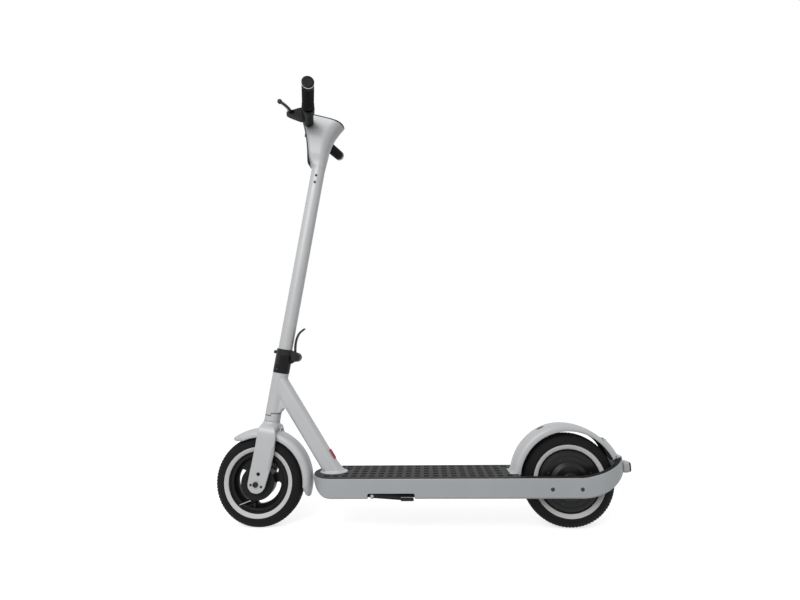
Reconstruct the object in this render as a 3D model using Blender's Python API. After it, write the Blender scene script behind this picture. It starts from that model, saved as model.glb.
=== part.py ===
"""Folding electric kick scooter with a drum brake in front and a hub motor behind.

The scooter points along -X, its left side is -Y and the ground is Z = 0. Pieces that steer are modelled
in the steering frame, whose origin is the front axle and whose Z is the steering axis, and the deck's
pieces are measured along X from the front axle.
"""

import math

import bmesh
import bpy
from mathutils import Matrix, Vector

# Overall sizes
WHEELBASE = 0.874
TYRE_DIAMETER = 0.254
TYRE_WIDTH = 0.054
RIM_DIAMETER = 0.1634
TREAD_RISE = 0.0012
STEERING_TILT = math.radians(10.0)
BAR_WIDTH = 0.476
SEAT_GAP = 0.0003
RUNNING_GAP = 0.0005

# Deck
DECK_WIDTH = 0.145
DECK_BOTTOM = 0.0942
DECK_HEIGHT = 0.0533
DECK_EDGE = 0.005
NOSE_CLEARANCE = 0.0045
NOSE_LENGTH = 0.064
NOSE_RISE = 0.045
TAIL_ROUND = 0.085
TAIL_CLEARANCE = 0.0067
TAIL_WALL = 0.018
TAIL_TOP_RISE = 0.0425
TAIL_BOTTOM_RISE = 0.0600
TAIL_CURVE = 0.130
MAT_THICKNESS = 0.003
MAT_INSET = 0.002
RAIL_WIDTH = 0.015
WELL_CLEARANCE = 0.010
DECK_WALL = 0.0225
CAVITY_SETBACK = 0.048
CAVITY_ROOF = 0.006
CAVITY_END_WALL = 0.034
COVER_THICKNESS = 0.0025
BATTERY_HEIGHT = 0.036
CONTROLLER_LENGTH = 0.085
CONTROLLER_INSET = 0.008
PACK_CLEARANCE = 0.001
WIRING_SPACE = 0.020

# Neck
HEAD_TUBE_DIAMETER = 0.046
HEAD_TUBE_BORE = 0.038
HEAD_TUBE_LENGTH = 0.1155
STEP_HEIGHT = 0.013
STEP_ANGLE = math.radians(76.0)
COLLAR_GAP = 0.0017
COLLAR_HEIGHT = 0.0233
BEARING_HEIGHT = 0.008
DOWN_TUBE_DEPTH = 0.0445
DOWN_TUBE_WIDTH = 0.044
DOWN_TUBE_CORNER = 0.012
DOWN_TUBE_RISE = 0.090
FLANGE_SETBACK = 0.0575
FLANGE_LENGTH = 0.080
FLANGE_WIDTH = 0.062
FLANGE_THICKNESS = 0.0055
CAP_LENGTH = 0.029
CAP_WIDTH = 0.017
CAP_THICKNESS = 0.0032
CAP_CENTRE = 0.046
PORT_RADIUS = 0.0065
PORT_DEPTH = 0.013

# Fork and front fender
STEERER_DIAMETER = 0.029
STEERER_RISE = 0.0225
LEG_WIDTH = 0.0506
LEG_OFFSET = 0.0018
LEG_INSIDE = 0.0365
LEG_THICKNESS = 0.010
SHOULDER_FRONT = 0.0190
SHOULDER_BACK = 0.0338
SHOULDER_DROP = 0.072
CROWN_HEIGHT = 0.0227
FRONT_AXLE_RADIUS = 0.006
FENDER_GAP = 0.0220
FENDER_SHIFT = 0.0030
FENDER_THICKNESS = 0.0025
FRONT_FENDER_HALF_WIDTH = 0.0305
FRONT_FENDER_SAG = 0.0205
FRONT_FENDER_START = math.radians(-6.0)
FRONT_FENDER_END = math.radians(134.0)

# Wheels
HUB_RADIUS = 0.035
HUB_FACE = 0.030
WEB_LEFT = 0.0075
WEB_RIGHT = 0.0020
FLANGE_HEIGHT = 0.010
SLOT_INNER = 0.0475
SLOT_OUTER = 0.0625
SLOT_COUNT = 3
SLOT_SPAN = math.radians(92.0)
SLOT_PHASE = math.radians(81.5)
DRUM_RADIUS = 0.0335
DRUM_FACE = 0.028
SHOE_THICKNESS = 0.0070
CAM_DISTANCE = 0.0245
MOTOR_PLAY = 0.0019
MOTOR_COVER_DEPTH = 0.0135
STATOR_RADIUS = 0.062
STATOR_INSET = 0.0085
REAR_AXLE_RADIUS = 0.006
AXLE_NUT_HEIGHT = 0.0055
DROPOUT_THICKNESS = 0.0112

# Rear fender
REAR_FENDER_GAP = 0.030
REAR_FENDER_HALF_WIDTH = 0.034
REAR_FENDER_DEPTH = 0.0195
REAR_FENDER_BACK_DEPTH = 0.0125
REAR_FENDER_DROP = 0.0065
REAR_FENDER_START = math.radians(25.0)
HOOK_SLOT_LENGTH = 0.022
HOOK_SLOT_WIDTH = 0.018
HOOK_SLOT_ANGLE = math.radians(115.5)
BRACKET_START = math.radians(27.0)
BRACKET_END = math.radians(46.5)
BRACKET_HALF_WIDTH = 0.024
BRACKET_THICKNESS = 0.003
LIGHT_LENGTH = 0.022
LIGHT_WIDTH = 0.034
LIGHT_HEIGHT = 0.030
LIGHT_DROP = 0.014
LENS_THICKNESS = 0.005

# Fold joint, in the steering frame
FOLD_DIAMETER = 0.048
FOLD_PIVOT_OFFSET = 0.0147
FOLD_PIVOT_DROP = 0.0007
FOLD_BASE_HEIGHT = 0.0530
FOLD_BAND_HEIGHT = 0.0170
SKIRT_RISE = 0.0238
SKIRT_BACK = -0.004
LOBE_RADIUS = 0.0138
KNUCKLE_RADIUS = 0.0083
KNUCKLE_INSIDE = 0.0040
KNUCKLE_OUTSIDE = 0.0073
CHEEK_INSIDE = 0.0076
CHEEK_OUTSIDE = 0.0110
PIN_RADIUS = 0.003
LATCH_BOSS_RADIUS = 0.0120
LATCH_WIDTH = 0.014
LATCH_THICKNESS = 0.0034
SAFETY_RADIUS = 0.0040
SAFETY_RISE = 0.0057
SAFETY_TRAVEL = 0.003

# Stem and cockpit, in the steering frame
STEM_DIAMETER = 0.041
STEM_WALL = 0.0027
SPIGOT_LENGTH = 0.028
STEM_LENGTH = 0.6025
STEM_INSERT = 0.035
HEAD_HALF_WIDTH = 0.034
HEAD_NECK_WALL = 0.0033
HEAD_BACK_WALL = 0.0015
HEAD_FACE_N = 0.0415
PANEL_THICKNESS = 0.0035
PANEL_HALF_WIDTH = 0.024
DISPLAY_THICKNESS = 0.004
BAR_N = -0.0479
BAR_RISE = 0.128
BAR_DIAMETER = 0.0222
BAR_SWEEP = math.radians(13.2)
BAR_LIFT = math.radians(5.3)
GRIP_DIAMETER = 0.0322
GRIP_SPACE = 0.0108
END_CAP_THICKNESS = 0.0075
HOUSING_START = 0.0045
HOUSING_DIAMETER = 0.033
HOUSING_LENGTH = 0.055
CLAMP_DIAMETER = 0.038
CLAMP_LENGTH = 0.026
PERCH_WIDTH = 0.024
PERCH_START = 0.030
LEVER_PIVOT_X = -0.050
LEVER_PIVOT_DROP = 0.008
LEVER_PIVOT_INSET = 0.009
LEVER_REACH = 0.095
LEVER_DROOP = 0.030
LEVER_FLARE = 0.020
LEVER_EYE_RADIUS = 0.0075
LEVER_HEIGHT = 0.007
THROTTLE_WIDTH = 0.013
THROTTLE_LENGTH = 0.030
THROTTLE_ANGLE = math.radians(80.0)
BUTTON_RADIUS = 0.0065
BUTTON_TRAVEL = 0.001
BUTTON_PROUD = 0.0015

# Kickstand
STAND_SETBACK = 0.013
STAND_RISE = 0.0058
STAND_INSET = 0.0085
STAND_LENGTH = 0.1130
STAND_DROP = 0.0070
STAND_LEAN = math.radians(15.0)
STAND_EYE_RADIUS = 0.0062
STAND_HALF_WIDTH = 0.0045
STAND_BOLT_REACH = 0.0030
FOOT_LENGTH = 0.035
STAND_END_PLAY = 0.003
RECESS_SETBACK = 0.056
RECESS_HEIGHT = 0.0153
RECESS_DEPTH = 0.019
RECESS_CORNER = 0.005

# Wheels and fenders, from the tyre outwards
TYRE_RADIUS = TYRE_DIAMETER / 2
RIM_RADIUS = RIM_DIAMETER / 2
FRONT_FENDER_RADIUS = TYRE_RADIUS + FENDER_GAP
REAR_FENDER_RADIUS = TYRE_RADIUS + REAR_FENDER_GAP
HUB_BORE = FRONT_AXLE_RADIUS + RUNNING_GAP

# Places along the deck, behind the front axle
NOSE_X = FRONT_FENDER_RADIUS + FENDER_SHIFT + NOSE_CLEARANCE
FLANGE_X = NOSE_X + FLANGE_SETBACK
CAVITY_START = FLANGE_X + CAVITY_SETBACK
RECESS_START = CAVITY_START + RECESS_SETBACK
RECESS_END = RECESS_START + STAND_SETBACK + STAND_LENGTH + STAND_END_PLAY
STAND_X = RECESS_START + STAND_SETBACK
WELL_START = WHEELBASE - TYRE_RADIUS - WELL_CLEARANCE
CAVITY_END = WELL_START - CAVITY_END_WALL
FENDER_FOOT_START = WELL_START - 0.025
TAIL_X = WHEELBASE + TYRE_RADIUS + TAIL_CLEARANCE + TAIL_WALL
LENGTH = TYRE_RADIUS + TAIL_X + SEAT_GAP + LIGHT_LENGTH
FRONT_X = TYRE_RADIUS - LENGTH / 2

# Widths and heights of the deck and what it holds
DECK_TOP = DECK_BOTTOM + DECK_HEIGHT
MAT_TOP = DECK_TOP + MAT_THICKNESS
WELL_HALF_WIDTH = DECK_WIDTH / 2 - RAIL_WIDTH
CAVITY_HALF_WIDTH = DECK_WIDTH / 2 - DECK_WALL
STAND_Y = STAND_INSET - DECK_WIDTH / 2
STAND_Z = DECK_BOTTOM + STAND_RISE
DROPOUT_INSIDE = WELL_HALF_WIDTH - SEAT_GAP - DROPOUT_THICKNESS
AXLE_NUT_INSIDE = DROPOUT_INSIDE - SEAT_GAP - AXLE_NUT_HEIGHT
MOTOR_HALF_WIDTH = AXLE_NUT_INSIDE - MOTOR_PLAY - MOTOR_COVER_DEPTH - SEAT_GAP

# Heights along the steering axis, each standing on the piece below
CROWN_BOTTOM = FRONT_FENDER_RADIUS + SEAT_GAP
CROWN_TOP = CROWN_BOTTOM + CROWN_HEIGHT
SHOULDER_HEIGHT = CROWN_TOP - SHOULDER_DROP
COLLAR_BOTTOM = CROWN_TOP + COLLAR_GAP
HEAD_TUBE_BOTTOM = COLLAR_BOTTOM + COLLAR_HEIGHT
HEAD_TUBE_TOP = HEAD_TUBE_BOTTOM + HEAD_TUBE_LENGTH
DOWN_TUBE_JOIN = HEAD_TUBE_BOTTOM + DOWN_TUBE_RISE
STEERER_TOP = HEAD_TUBE_TOP + STEERER_RISE
SKIRT_BOTTOM = HEAD_TUBE_TOP + SKIRT_RISE
FOLD_SPLIT = HEAD_TUBE_TOP + FOLD_BASE_HEIGHT
FOLD_TOP = FOLD_SPLIT + FOLD_BAND_HEIGHT
FOLD_PIVOT_S = FOLD_SPLIT - FOLD_PIVOT_DROP
FOLD_PIVOT_N = FOLD_DIAMETER / 2 + FOLD_PIVOT_OFFSET
SAFETY_S = FOLD_SPLIT + SAFETY_RISE
STEM_RADIUS = STEM_DIAMETER / 2
STEM_TOP = FOLD_TOP + STEM_LENGTH
HEAD_BOTTOM = STEM_TOP - STEM_INSERT
HEAD_NECK_HALF_WIDTH = STEM_RADIUS + HEAD_NECK_WALL
BAR_S = HEAD_BOTTOM + BAR_RISE

# Places along each half of the handlebar
KINK_Y = HEAD_HALF_WIDTH + RUNNING_GAP
HOUSING_END = HOUSING_START + HOUSING_LENGTH
CLAMP_END = HOUSING_END + CLAMP_LENGTH
GRIP_START = CLAMP_END + GRIP_SPACE
PERCH_END = PERCH_START + PERCH_WIDTH
LEVER_PIVOT_W = PERCH_END - LEVER_PIVOT_INSET

PAINT = ("paint_grey", (0.47, 0.49, 0.50), 0.42, 0.25)
BLACK_METAL = ("black_metal", (0.03, 0.03, 0.032), 0.45, 0.4)
BLACK_PLASTIC = ("black_plastic", (0.025, 0.025, 0.027), 0.5, 0.0)
RUBBER = ("black_rubber", (0.02, 0.02, 0.02), 0.8, 0.0)
STEEL = ("steel", (0.6, 0.6, 0.6), 0.3, 1.0)
RED_LENS = ("red_lens", (0.35, 0.01, 0.015), 0.2, 0.0)
RED_RUBBER = ("red_rubber", (0.45, 0.05, 0.07), 0.7, 0.0)
CLEAR_LENS = ("clear_lens", (0.05, 0.05, 0.055), 0.1, 0.0)
COPPER = ("copper", (0.6, 0.28, 0.12), 0.4, 1.0)
CELLS = ("battery_wrap", (0.05, 0.12, 0.35), 0.5, 0.0)


# Building blocks

def clear_scene():
    for obj in list(bpy.data.objects):
        bpy.data.objects.remove(obj, do_unlink=True)


def material(finish):
    """Return the Principled material of a finish, made once."""
    name, colour, roughness, metallic = finish
    found = bpy.data.materials.get(name)
    if found:
        return found
    made = bpy.data.materials.new(name)
    made.use_nodes = True
    shader = made.node_tree.nodes["Principled BSDF"]
    shader.inputs["Base Color"].default_value = (*colour, 1.0)
    shader.inputs["Roughness"].default_value = roughness
    shader.inputs["Metallic"].default_value = metallic
    made.diffuse_color = (*colour, 1.0)
    return made


def empty(name, location, parent=None, rotation=None):
    """Add an empty that carries pieces or marks a joint's axis."""
    obj = bpy.data.objects.new(name, None)
    bpy.context.collection.objects.link(obj)
    obj.parent = parent
    obj.location = location
    if rotation is not None:
        obj.rotation_mode = "QUATERNION"
        obj.rotation_quaternion = rotation.to_quaternion()
    return obj


def add(name, bm, finish, parent=None, location=(0, 0, 0)):
    """Turn a bmesh into a shaded object under its parent."""
    bmesh.ops.recalc_face_normals(bm, faces=bm.faces)
    mesh = bpy.data.meshes.new(name)
    bm.to_mesh(mesh)
    bm.free()
    mesh.shade_smooth()
    mesh.set_sharp_from_angle(angle=math.radians(32))
    mesh.materials.append(material(finish))
    obj = bpy.data.objects.new(name, mesh)
    bpy.context.collection.objects.link(obj)
    obj.parent = parent
    obj.location = location
    return obj


def shape(obj, bm, operation="DIFFERENCE"):
    """Cut a tool out of an object, or join or intersect it with one."""
    count = len(obj.modifiers)
    tool = add(f"{obj.name}_tool_{count}", bm, BLACK_PLASTIC, obj.parent, obj.location)
    tool.hide_render = True
    tool.display_type = "WIRE"
    modifier = obj.modifiers.new(f"{operation.lower()}_{count}", "BOOLEAN")
    modifier.operation = operation
    modifier.solver = "EXACT"
    modifier.object = tool
    return obj


def loft(rings, closed=False):
    """Skin a list of equal rings of points, capped at both ends unless it closes on itself."""
    bm = bmesh.new()
    rows = [[bm.verts.new(point) for point in ring] for ring in rings]
    pairs = list(zip(rows, rows[1:]))
    if closed:
        pairs.append((rows[-1], rows[0]))
    else:
        bm.faces.new(rows[0])
        bm.faces.new(rows[-1][::-1])
    count = len(rows[0])
    for low, high in pairs:
        for i in range(count):
            j = (i + 1) % count
            bm.faces.new((low[i], low[j], high[j], high[i]))
    return bm


def prism(outline, start, end, plane="XZ"):
    """Extrude an outline along the axis that its plane leaves out."""
    def point(a, b, depth):
        if plane == "XZ":
            return (a, depth, b)
        if plane == "XY":
            return (a, b, depth)
        return (depth, a, b)
    return loft([[point(a, b, depth) for a, b in outline] for depth in (start, end)])


def box(low, high):
    """A block between two corners."""
    outline = [(low[0], low[1]), (high[0], low[1]), (high[0], high[1]), (low[0], high[1])]
    return prism(outline, low[2], high[2], "XY")


def turned(profile, segments=40, axis="Z", centre=(0, 0, 0)):
    """Turn an outline of (radius, height) points about an axis; a zero radius makes a pole."""
    bm = bmesh.new()
    rows = []
    for radius, height in profile:
        steps = segments if radius > 0 else 1
        row = []
        for i in range(steps):
            angle = math.tau * i / segments
            a = radius * math.cos(angle)
            b = radius * math.sin(angle)
            point = {"X": (height, a, b), "Y": (a, height, b), "Z": (a, b, height)}[axis]
            row.append(bm.verts.new(Vector(point) + Vector(centre)))
        rows.append(row)
    pairs = list(zip(rows, rows[1:]))
    if profile[0][0] > 0:
        pairs.append((rows[-1], rows[0]))
    for low, high in pairs:
        for i in range(segments):
            j = (i + 1) % segments
            corners = [low[i % len(low)], low[j % len(low)], high[j % len(high)], high[i % len(high)]]
            bm.faces.new(list(dict.fromkeys(corners)))
    return bm


def rod(radius, start, end, axis="Z", centre=(0, 0, 0), segments=32):
    """A plain round bar along an axis."""
    profile = [(0, start), (radius, start), (radius, end), (0, end)]
    return turned(profile, segments, axis, centre)


def ring(inner, outer, start, end, axis="Z", centre=(0, 0, 0), segments=40):
    """A round bush."""
    profile = [(inner, start), (outer, start), (outer, end), (inner, end)]
    return turned(profile, segments, axis, centre)


def arc(centre, radius, start, end, steps, squash=1.0):
    """Points along an arc, or along an ellipse whose second half axis is squashed."""
    points = []
    for i in range(steps + 1):
        angle = start + (end - start) * i / steps
        a = centre[0] + radius * math.cos(angle)
        b = centre[1] + radius * squash * math.sin(angle)
        points.append((a, b))
    return points


def rounded_rectangle(width, height, corner, steps=4):
    """An outline centred on zero with round corners."""
    points = []
    for quarter, (sx, sy) in enumerate(((1, 1), (-1, 1), (-1, -1), (1, -1))):
        centre = (sx * (width / 2 - corner), sy * (height / 2 - corner))
        start = quarter * math.pi / 2
        points += arc(centre, corner, start, start + math.pi / 2, steps)
    return points


def slanted(x, z, along, across):
    """A point beside the down tube's centre line, counted from the flange up the tube."""
    lean = down_tube_lean()
    return (
        x - along * math.sin(lean) + across * math.cos(lean),
        z + along * math.cos(lean) + across * math.sin(lean),
    )


def down_tube_lean():
    """The angle between the down tube and the vertical."""
    join_x = DOWN_TUBE_JOIN * math.sin(STEERING_TILT)
    join_z = TYRE_RADIUS + DOWN_TUBE_JOIN * math.cos(STEERING_TILT)
    return math.atan2(FLANGE_X - join_x, join_z - DECK_TOP)


# Deck outline

def tail_start():
    return TAIL_X - TAIL_ROUND


def deck_half_width(x):
    """Half the deck's width at a distance behind the front axle."""
    nose_end = NOSE_X + NOSE_LENGTH
    share = 0.0
    if x < nose_end:
        share = (nose_end - x) / NOSE_LENGTH
    if x > tail_start():
        share = (x - tail_start()) / TAIL_ROUND
    return DECK_WIDTH / 2 * math.sqrt(max(0.0, 1 - share * share))


def tail_share(x):
    """How far a point lies along the upswept tail, from 0 to 1."""
    return max(0.0, x - TAIL_X + TAIL_CURVE) / TAIL_CURVE


def deck_top(x):
    return DECK_TOP + TAIL_TOP_RISE * tail_share(x) ** 1.5


def deck_bottom(x):
    nose = max(0.0, NOSE_X + NOSE_LENGTH - x) / NOSE_LENGTH
    return DECK_BOTTOM + NOSE_RISE * nose ** 2.8 + TAIL_BOTTOM_RISE * tail_share(x) ** 1.9


def deck_stations():
    """Distances at which the deck's sections are drawn, closer together where it curves."""
    nose = [NOSE_X + NOSE_LENGTH * (1 - math.cos(math.radians(a))) for a in range(9, 90, 9)]
    curve_start = TAIL_X - TAIL_CURVE
    rise_steps = 7
    rise = [curve_start + (tail_start() - curve_start) * i / rise_steps for i in range(rise_steps)]
    tail = [tail_start() + TAIL_ROUND * math.sin(math.radians(a)) for a in range(0, 88, 6)]
    return nose + [NOSE_X + NOSE_LENGTH] + rise + tail


def deck_section(x):
    """The deck's section at one station, with small slanted edges."""
    half = deck_half_width(x)
    low = deck_bottom(x)
    high = deck_top(x)
    edge = min(DECK_EDGE, 0.4 * half, 0.4 * (high - low))
    return [
        (x, -half + edge, low),
        (x, half - edge, low),
        (x, half, low + edge),
        (x, half, high - 0.3 * edge),
        (x, half - 0.3 * edge, high),
        (x, -half + 0.3 * edge, high),
        (x, -half, high - 0.3 * edge),
        (x, -half, low + edge),
    ]


def well_outline():
    """The wheel opening, seen from above."""
    corner = 0.012
    reach = TAIL_ROUND - TAIL_WALL
    centre = tail_start()
    points = arc((WELL_START + corner, WELL_HALF_WIDTH - corner), corner, math.pi / 2, math.pi, 4)
    points += arc((WELL_START + corner, -WELL_HALF_WIDTH + corner), corner, math.pi, 1.5 * math.pi, 4)
    squash = WELL_HALF_WIDTH / reach
    points += arc((centre, 0), reach, -math.pi / 2, math.pi / 2, 16, squash)
    return points


# Deck pieces

def make_deck_frame():
    """Extruded deck body, joined behind the wheel by the upswept tail loop."""
    bm = loft([deck_section(x) for x in deck_stations()])
    deck = add("deck_frame", bm, PAINT, location=(FRONT_X, 0, 0))
    shape(deck, prism(well_outline(), 0.0, 0.25, "XY"))
    roof = DECK_TOP - CAVITY_ROOF
    low = (CAVITY_START, -CAVITY_HALF_WIDTH, DECK_BOTTOM - 0.01)
    shape(deck, box(low, (CAVITY_END, CAVITY_HALF_WIDTH, roof)))
    shape(deck, recess_tool())
    return deck


def recess_tool():
    """The kickstand's pocket in the left bottom edge."""
    top = DECK_BOTTOM + RECESS_HEIGHT
    corner = RECESS_CORNER
    outline = [(RECESS_START, DECK_BOTTOM - 0.01), (RECESS_END, DECK_BOTTOM - 0.01)]
    outline += arc((RECESS_END - corner, top - corner), corner, 0, math.pi / 2, 4)
    outline += arc((RECESS_START + corner, top - corner), corner, math.pi / 2, math.pi, 4)
    side = -DECK_WIDTH / 2
    return prism(outline, side - 0.01, side + RECESS_DEPTH)


def make_deck_cover():
    """Bottom plate that closes the battery space."""
    low = (CAVITY_START + SEAT_GAP, -CAVITY_HALF_WIDTH + SEAT_GAP, DECK_BOTTOM)
    high = (CAVITY_END - SEAT_GAP, CAVITY_HALF_WIDTH - SEAT_GAP, DECK_BOTTOM + COVER_THICKNESS)
    return add("deck_cover", box(low, high), BLACK_METAL, location=(FRONT_X, 0, 0))


def make_battery():
    """Battery pack and controller, standing on the bottom plate."""
    floor = DECK_BOTTOM + COVER_THICKNESS + SEAT_GAP
    half = CAVITY_HALF_WIDTH - PACK_CLEARANCE
    controller_end = CAVITY_END - WIRING_SPACE
    controller_start = controller_end - CONTROLLER_LENGTH
    start = CAVITY_START + PACK_CLEARANCE
    end = controller_start - 5 * PACK_CLEARANCE
    add("battery_pack", box((start, -half, floor), (end, half, floor + BATTERY_HEIGHT)), CELLS,
        location=(FRONT_X, 0, 0))
    half -= CONTROLLER_INSET
    high = (controller_end, half, floor + BATTERY_HEIGHT - CAVITY_ROOF)
    add("controller_box", box((controller_start, -half, floor), high), BLACK_METAL, location=(FRONT_X, 0, 0))


def deck_plan(inset, end):
    """The deck's outline from above, drawn in by a margin and cut off behind."""
    xs = [NOSE_X + NOSE_LENGTH - (NOSE_LENGTH - inset) * math.cos(math.radians(a)) for a in range(0, 91, 9)]
    half = DECK_WIDTH / 2 - inset
    nose_end = NOSE_X + NOSE_LENGTH
    side = [(x, half * math.sqrt(max(0.0, 1 - ((nose_end - x) / (NOSE_LENGTH - inset)) ** 2))) for x in xs]
    side.append((end, half))
    return side + [(x, -y) for x, y in side[::-1] if y > 0]


def make_deck_mat():
    """Rubber mat, notched for the fender's foot and open round the neck's flange."""
    outline = deck_plan(MAT_INSET, WELL_START - 0.0035)
    low = DECK_TOP + SEAT_GAP
    mat = add("deck_mat", prism(outline, low, MAT_TOP, "XY"), RUBBER, location=(FRONT_X, 0, 0))
    half = REAR_FENDER_HALF_WIDTH + 0.0020
    start = FENDER_FOOT_START - 0.0005
    shape(mat, box((start, -half, DECK_TOP - 0.01), (WELL_START + 0.01, half, MAT_TOP + 0.01)))
    tool = prism(flange_outline(RUNNING_GAP), DECK_TOP - 0.01, MAT_TOP + 0.01, "XY")
    shape(mat, tool)
    return mat


def make_tail_trim():
    """Black trim on top of the loop, from the mat round behind the wheel and back."""
    inset = 0.003
    bottom = 0.0004
    outer_reach = TAIL_ROUND - inset
    inner_reach = TAIL_ROUND - TAIL_WALL + 0.0005
    outer_half = DECK_WIDTH / 2 - inset
    inner_half = WELL_HALF_WIDTH + 0.0005
    straight = [WELL_START - 0.0032, 0.5 * (WELL_START + TAIL_X - TAIL_CURVE), TAIL_X - TAIL_CURVE]
    steps = 8
    gap = tail_start() - straight[-1]
    straight += [straight[-1] + gap * i / steps for i in range(1, steps)]
    pairs = [((x, -outer_half), (x, -inner_half)) for x in straight]
    for i in range(25):
        angle = -math.pi / 2 + math.pi * i / 24
        outer = (tail_start() + outer_reach * math.cos(angle), outer_half * math.sin(angle))
        inner = (tail_start() + inner_reach * math.cos(angle), inner_half * math.sin(angle))
        pairs.append((outer, inner))
    pairs += [((x, outer_half), (x, inner_half)) for x in straight[::-1]]
    rings = []
    for outer, inner in pairs:
        rings.append([
            (*outer, deck_top(outer[0]) + bottom),
            (*inner, deck_top(inner[0]) + bottom),
            (*inner, deck_top(inner[0]) + MAT_THICKNESS),
            (*outer, deck_top(outer[0]) + MAT_THICKNESS),
        ])
    return add("tail_trim", loft(rings), RUBBER, location=(FRONT_X, 0, 0))


# Neck

def flange_outline(margin=0.0):
    """The neck's oval foot on the deck."""
    reach = FLANGE_LENGTH / 2 + margin
    squash = (FLANGE_WIDTH / 2 + margin) / reach
    return arc((FLANGE_X, 0), reach, 0, math.tau * 31 / 32, 31, squash)


def to_deck(bm):
    """Move pieces modelled in the steering frame to distances behind the front axle."""
    turn = Matrix.Rotation(STEERING_TILT, 4, "Y")
    bm.transform(Matrix.Translation((0, 0, TYRE_RADIUS)) @ turn)
    return bm


def make_neck_frame():
    """Head tube, down tube and flange, welded into one."""
    outer = HEAD_TUBE_DIAMETER / 2
    bottom = HEAD_TUBE_BOTTOM - STEP_HEIGHT
    neck = add("neck_frame", to_deck(rod(outer, bottom, HEAD_TUBE_TOP, segments=40)), PAINT,
               location=(FRONT_X, 0, 0))
    step = -outer * math.cos(STEP_ANGLE)
    size = 0.06
    shape(neck, to_deck(box((step, -size, bottom - size), (size, size, HEAD_TUBE_BOTTOM))))
    lean = down_tube_lean()
    length = (DOWN_TUBE_JOIN * math.cos(STEERING_TILT) + TYRE_RADIUS - DECK_TOP) / math.cos(lean)
    outline = rounded_rectangle(DOWN_TUBE_DEPTH, DOWN_TUBE_WIDTH, DOWN_TUBE_CORNER)
    foot = DECK_TOP + 0.5 * FLANGE_THICKNESS
    lower = []
    upper = []
    for across, y in outline:
        lower.append((FLANGE_X + across / math.cos(lean) - (foot - DECK_TOP) * math.tan(lean), y, foot))
        x, z = slanted(FLANGE_X, DECK_TOP, length, across)
        upper.append((x, y, z))
    shape(neck, loft([lower, upper]), "UNION")
    low = DECK_TOP + SEAT_GAP
    shape(neck, prism(flange_outline(), low, DECK_TOP + FLANGE_THICKNESS, "XY"), "UNION")
    shape(neck, to_deck(rod(HEAD_TUBE_BORE / 2, bottom - 0.02, HEAD_TUBE_TOP + 0.02, segments=40)))
    shape(neck, port_tool(PORT_RADIUS + 0.002 + SEAT_GAP, -PORT_DEPTH - SEAT_GAP, 0.01))
    return neck


def port_tool(radius, start, end):
    """A round bar square to the down tube's back face, centred on the charge port."""
    lean = down_tube_lean()
    x, z = slanted(FLANGE_X, DECK_TOP, CAP_CENTRE, DOWN_TUBE_DEPTH / 2)
    bm = rod(radius, start, end, "X", segments=24)
    turn = Matrix.Rotation(-lean, 4, "Y")
    bm.transform(Matrix.Translation((x, 0, z)) @ turn)
    return bm


def make_charge_port():
    """Charging socket let into the down tube's back face."""
    port = add("charge_port", port_tool(PORT_RADIUS + 0.002, -PORT_DEPTH, 0.0), BLACK_PLASTIC,
               location=(FRONT_X, 0, 0))
    shape(port, port_tool(PORT_RADIUS, -PORT_DEPTH + 0.004, 0.01))
    return port


def make_charge_cap():
    """Red rubber flap over the charging socket, hinged at its upper end."""
    lean = down_tube_lean()
    half = CAP_THICKNESS / 2
    face = DOWN_TUBE_DEPTH / 2 + SEAT_GAP + half
    x, z = slanted(FLANGE_X, DECK_TOP, CAP_CENTRE + CAP_LENGTH / 2, face)
    turn = Matrix.Rotation(-lean, 3, "Y")
    hinge = empty("charge_cap_axis", (FRONT_X + x, 0, z), rotation=turn)
    outline = arc((0, 0), half, math.pi / 2, 0, 4)[::-1]
    outline = [(a, b) for a, b in outline]
    outline += [(-half, 0.0), (-half, -CAP_LENGTH), (half - 0.001, -CAP_LENGTH), (half, -CAP_LENGTH + 0.001)]
    return add("charge_cap", prism(outline, -CAP_WIDTH / 2, CAP_WIDTH / 2), RED_RUBBER, hinge)


def make_headset():
    """Stepped collar under the head tube and the two bearings inside it."""
    outer = HEAD_TUBE_DIAMETER / 2
    bore = STEERER_DIAMETER / 2 + SEAT_GAP
    collar_top = HEAD_TUBE_BOTTOM - 0.0025
    bm = to_deck(ring(bore, outer, COLLAR_BOTTOM, collar_top, segments=40))
    collar = add("headset_collar", bm, PAINT, location=(FRONT_X, 0, 0))
    step = -outer * math.cos(STEP_ANGLE) - 0.0004
    size = 0.06
    low = HEAD_TUBE_BOTTOM - STEP_HEIGHT - SEAT_GAP
    shape(collar, to_deck(box((-size, -size, low), (step + 0.0007, size, low + size))))
    seat = HEAD_TUBE_BORE / 2 - SEAT_GAP
    starts = {"bearing_lower": HEAD_TUBE_BOTTOM + 0.0015, "bearing_upper": HEAD_TUBE_TOP - BEARING_HEIGHT - 0.001}
    for name, start in starts.items():
        bm = to_deck(ring(bore, seat, start, start + BEARING_HEIGHT, segments=24))
        add(name, bm, STEEL, location=(FRONT_X, 0, 0))


# Fork

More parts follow.
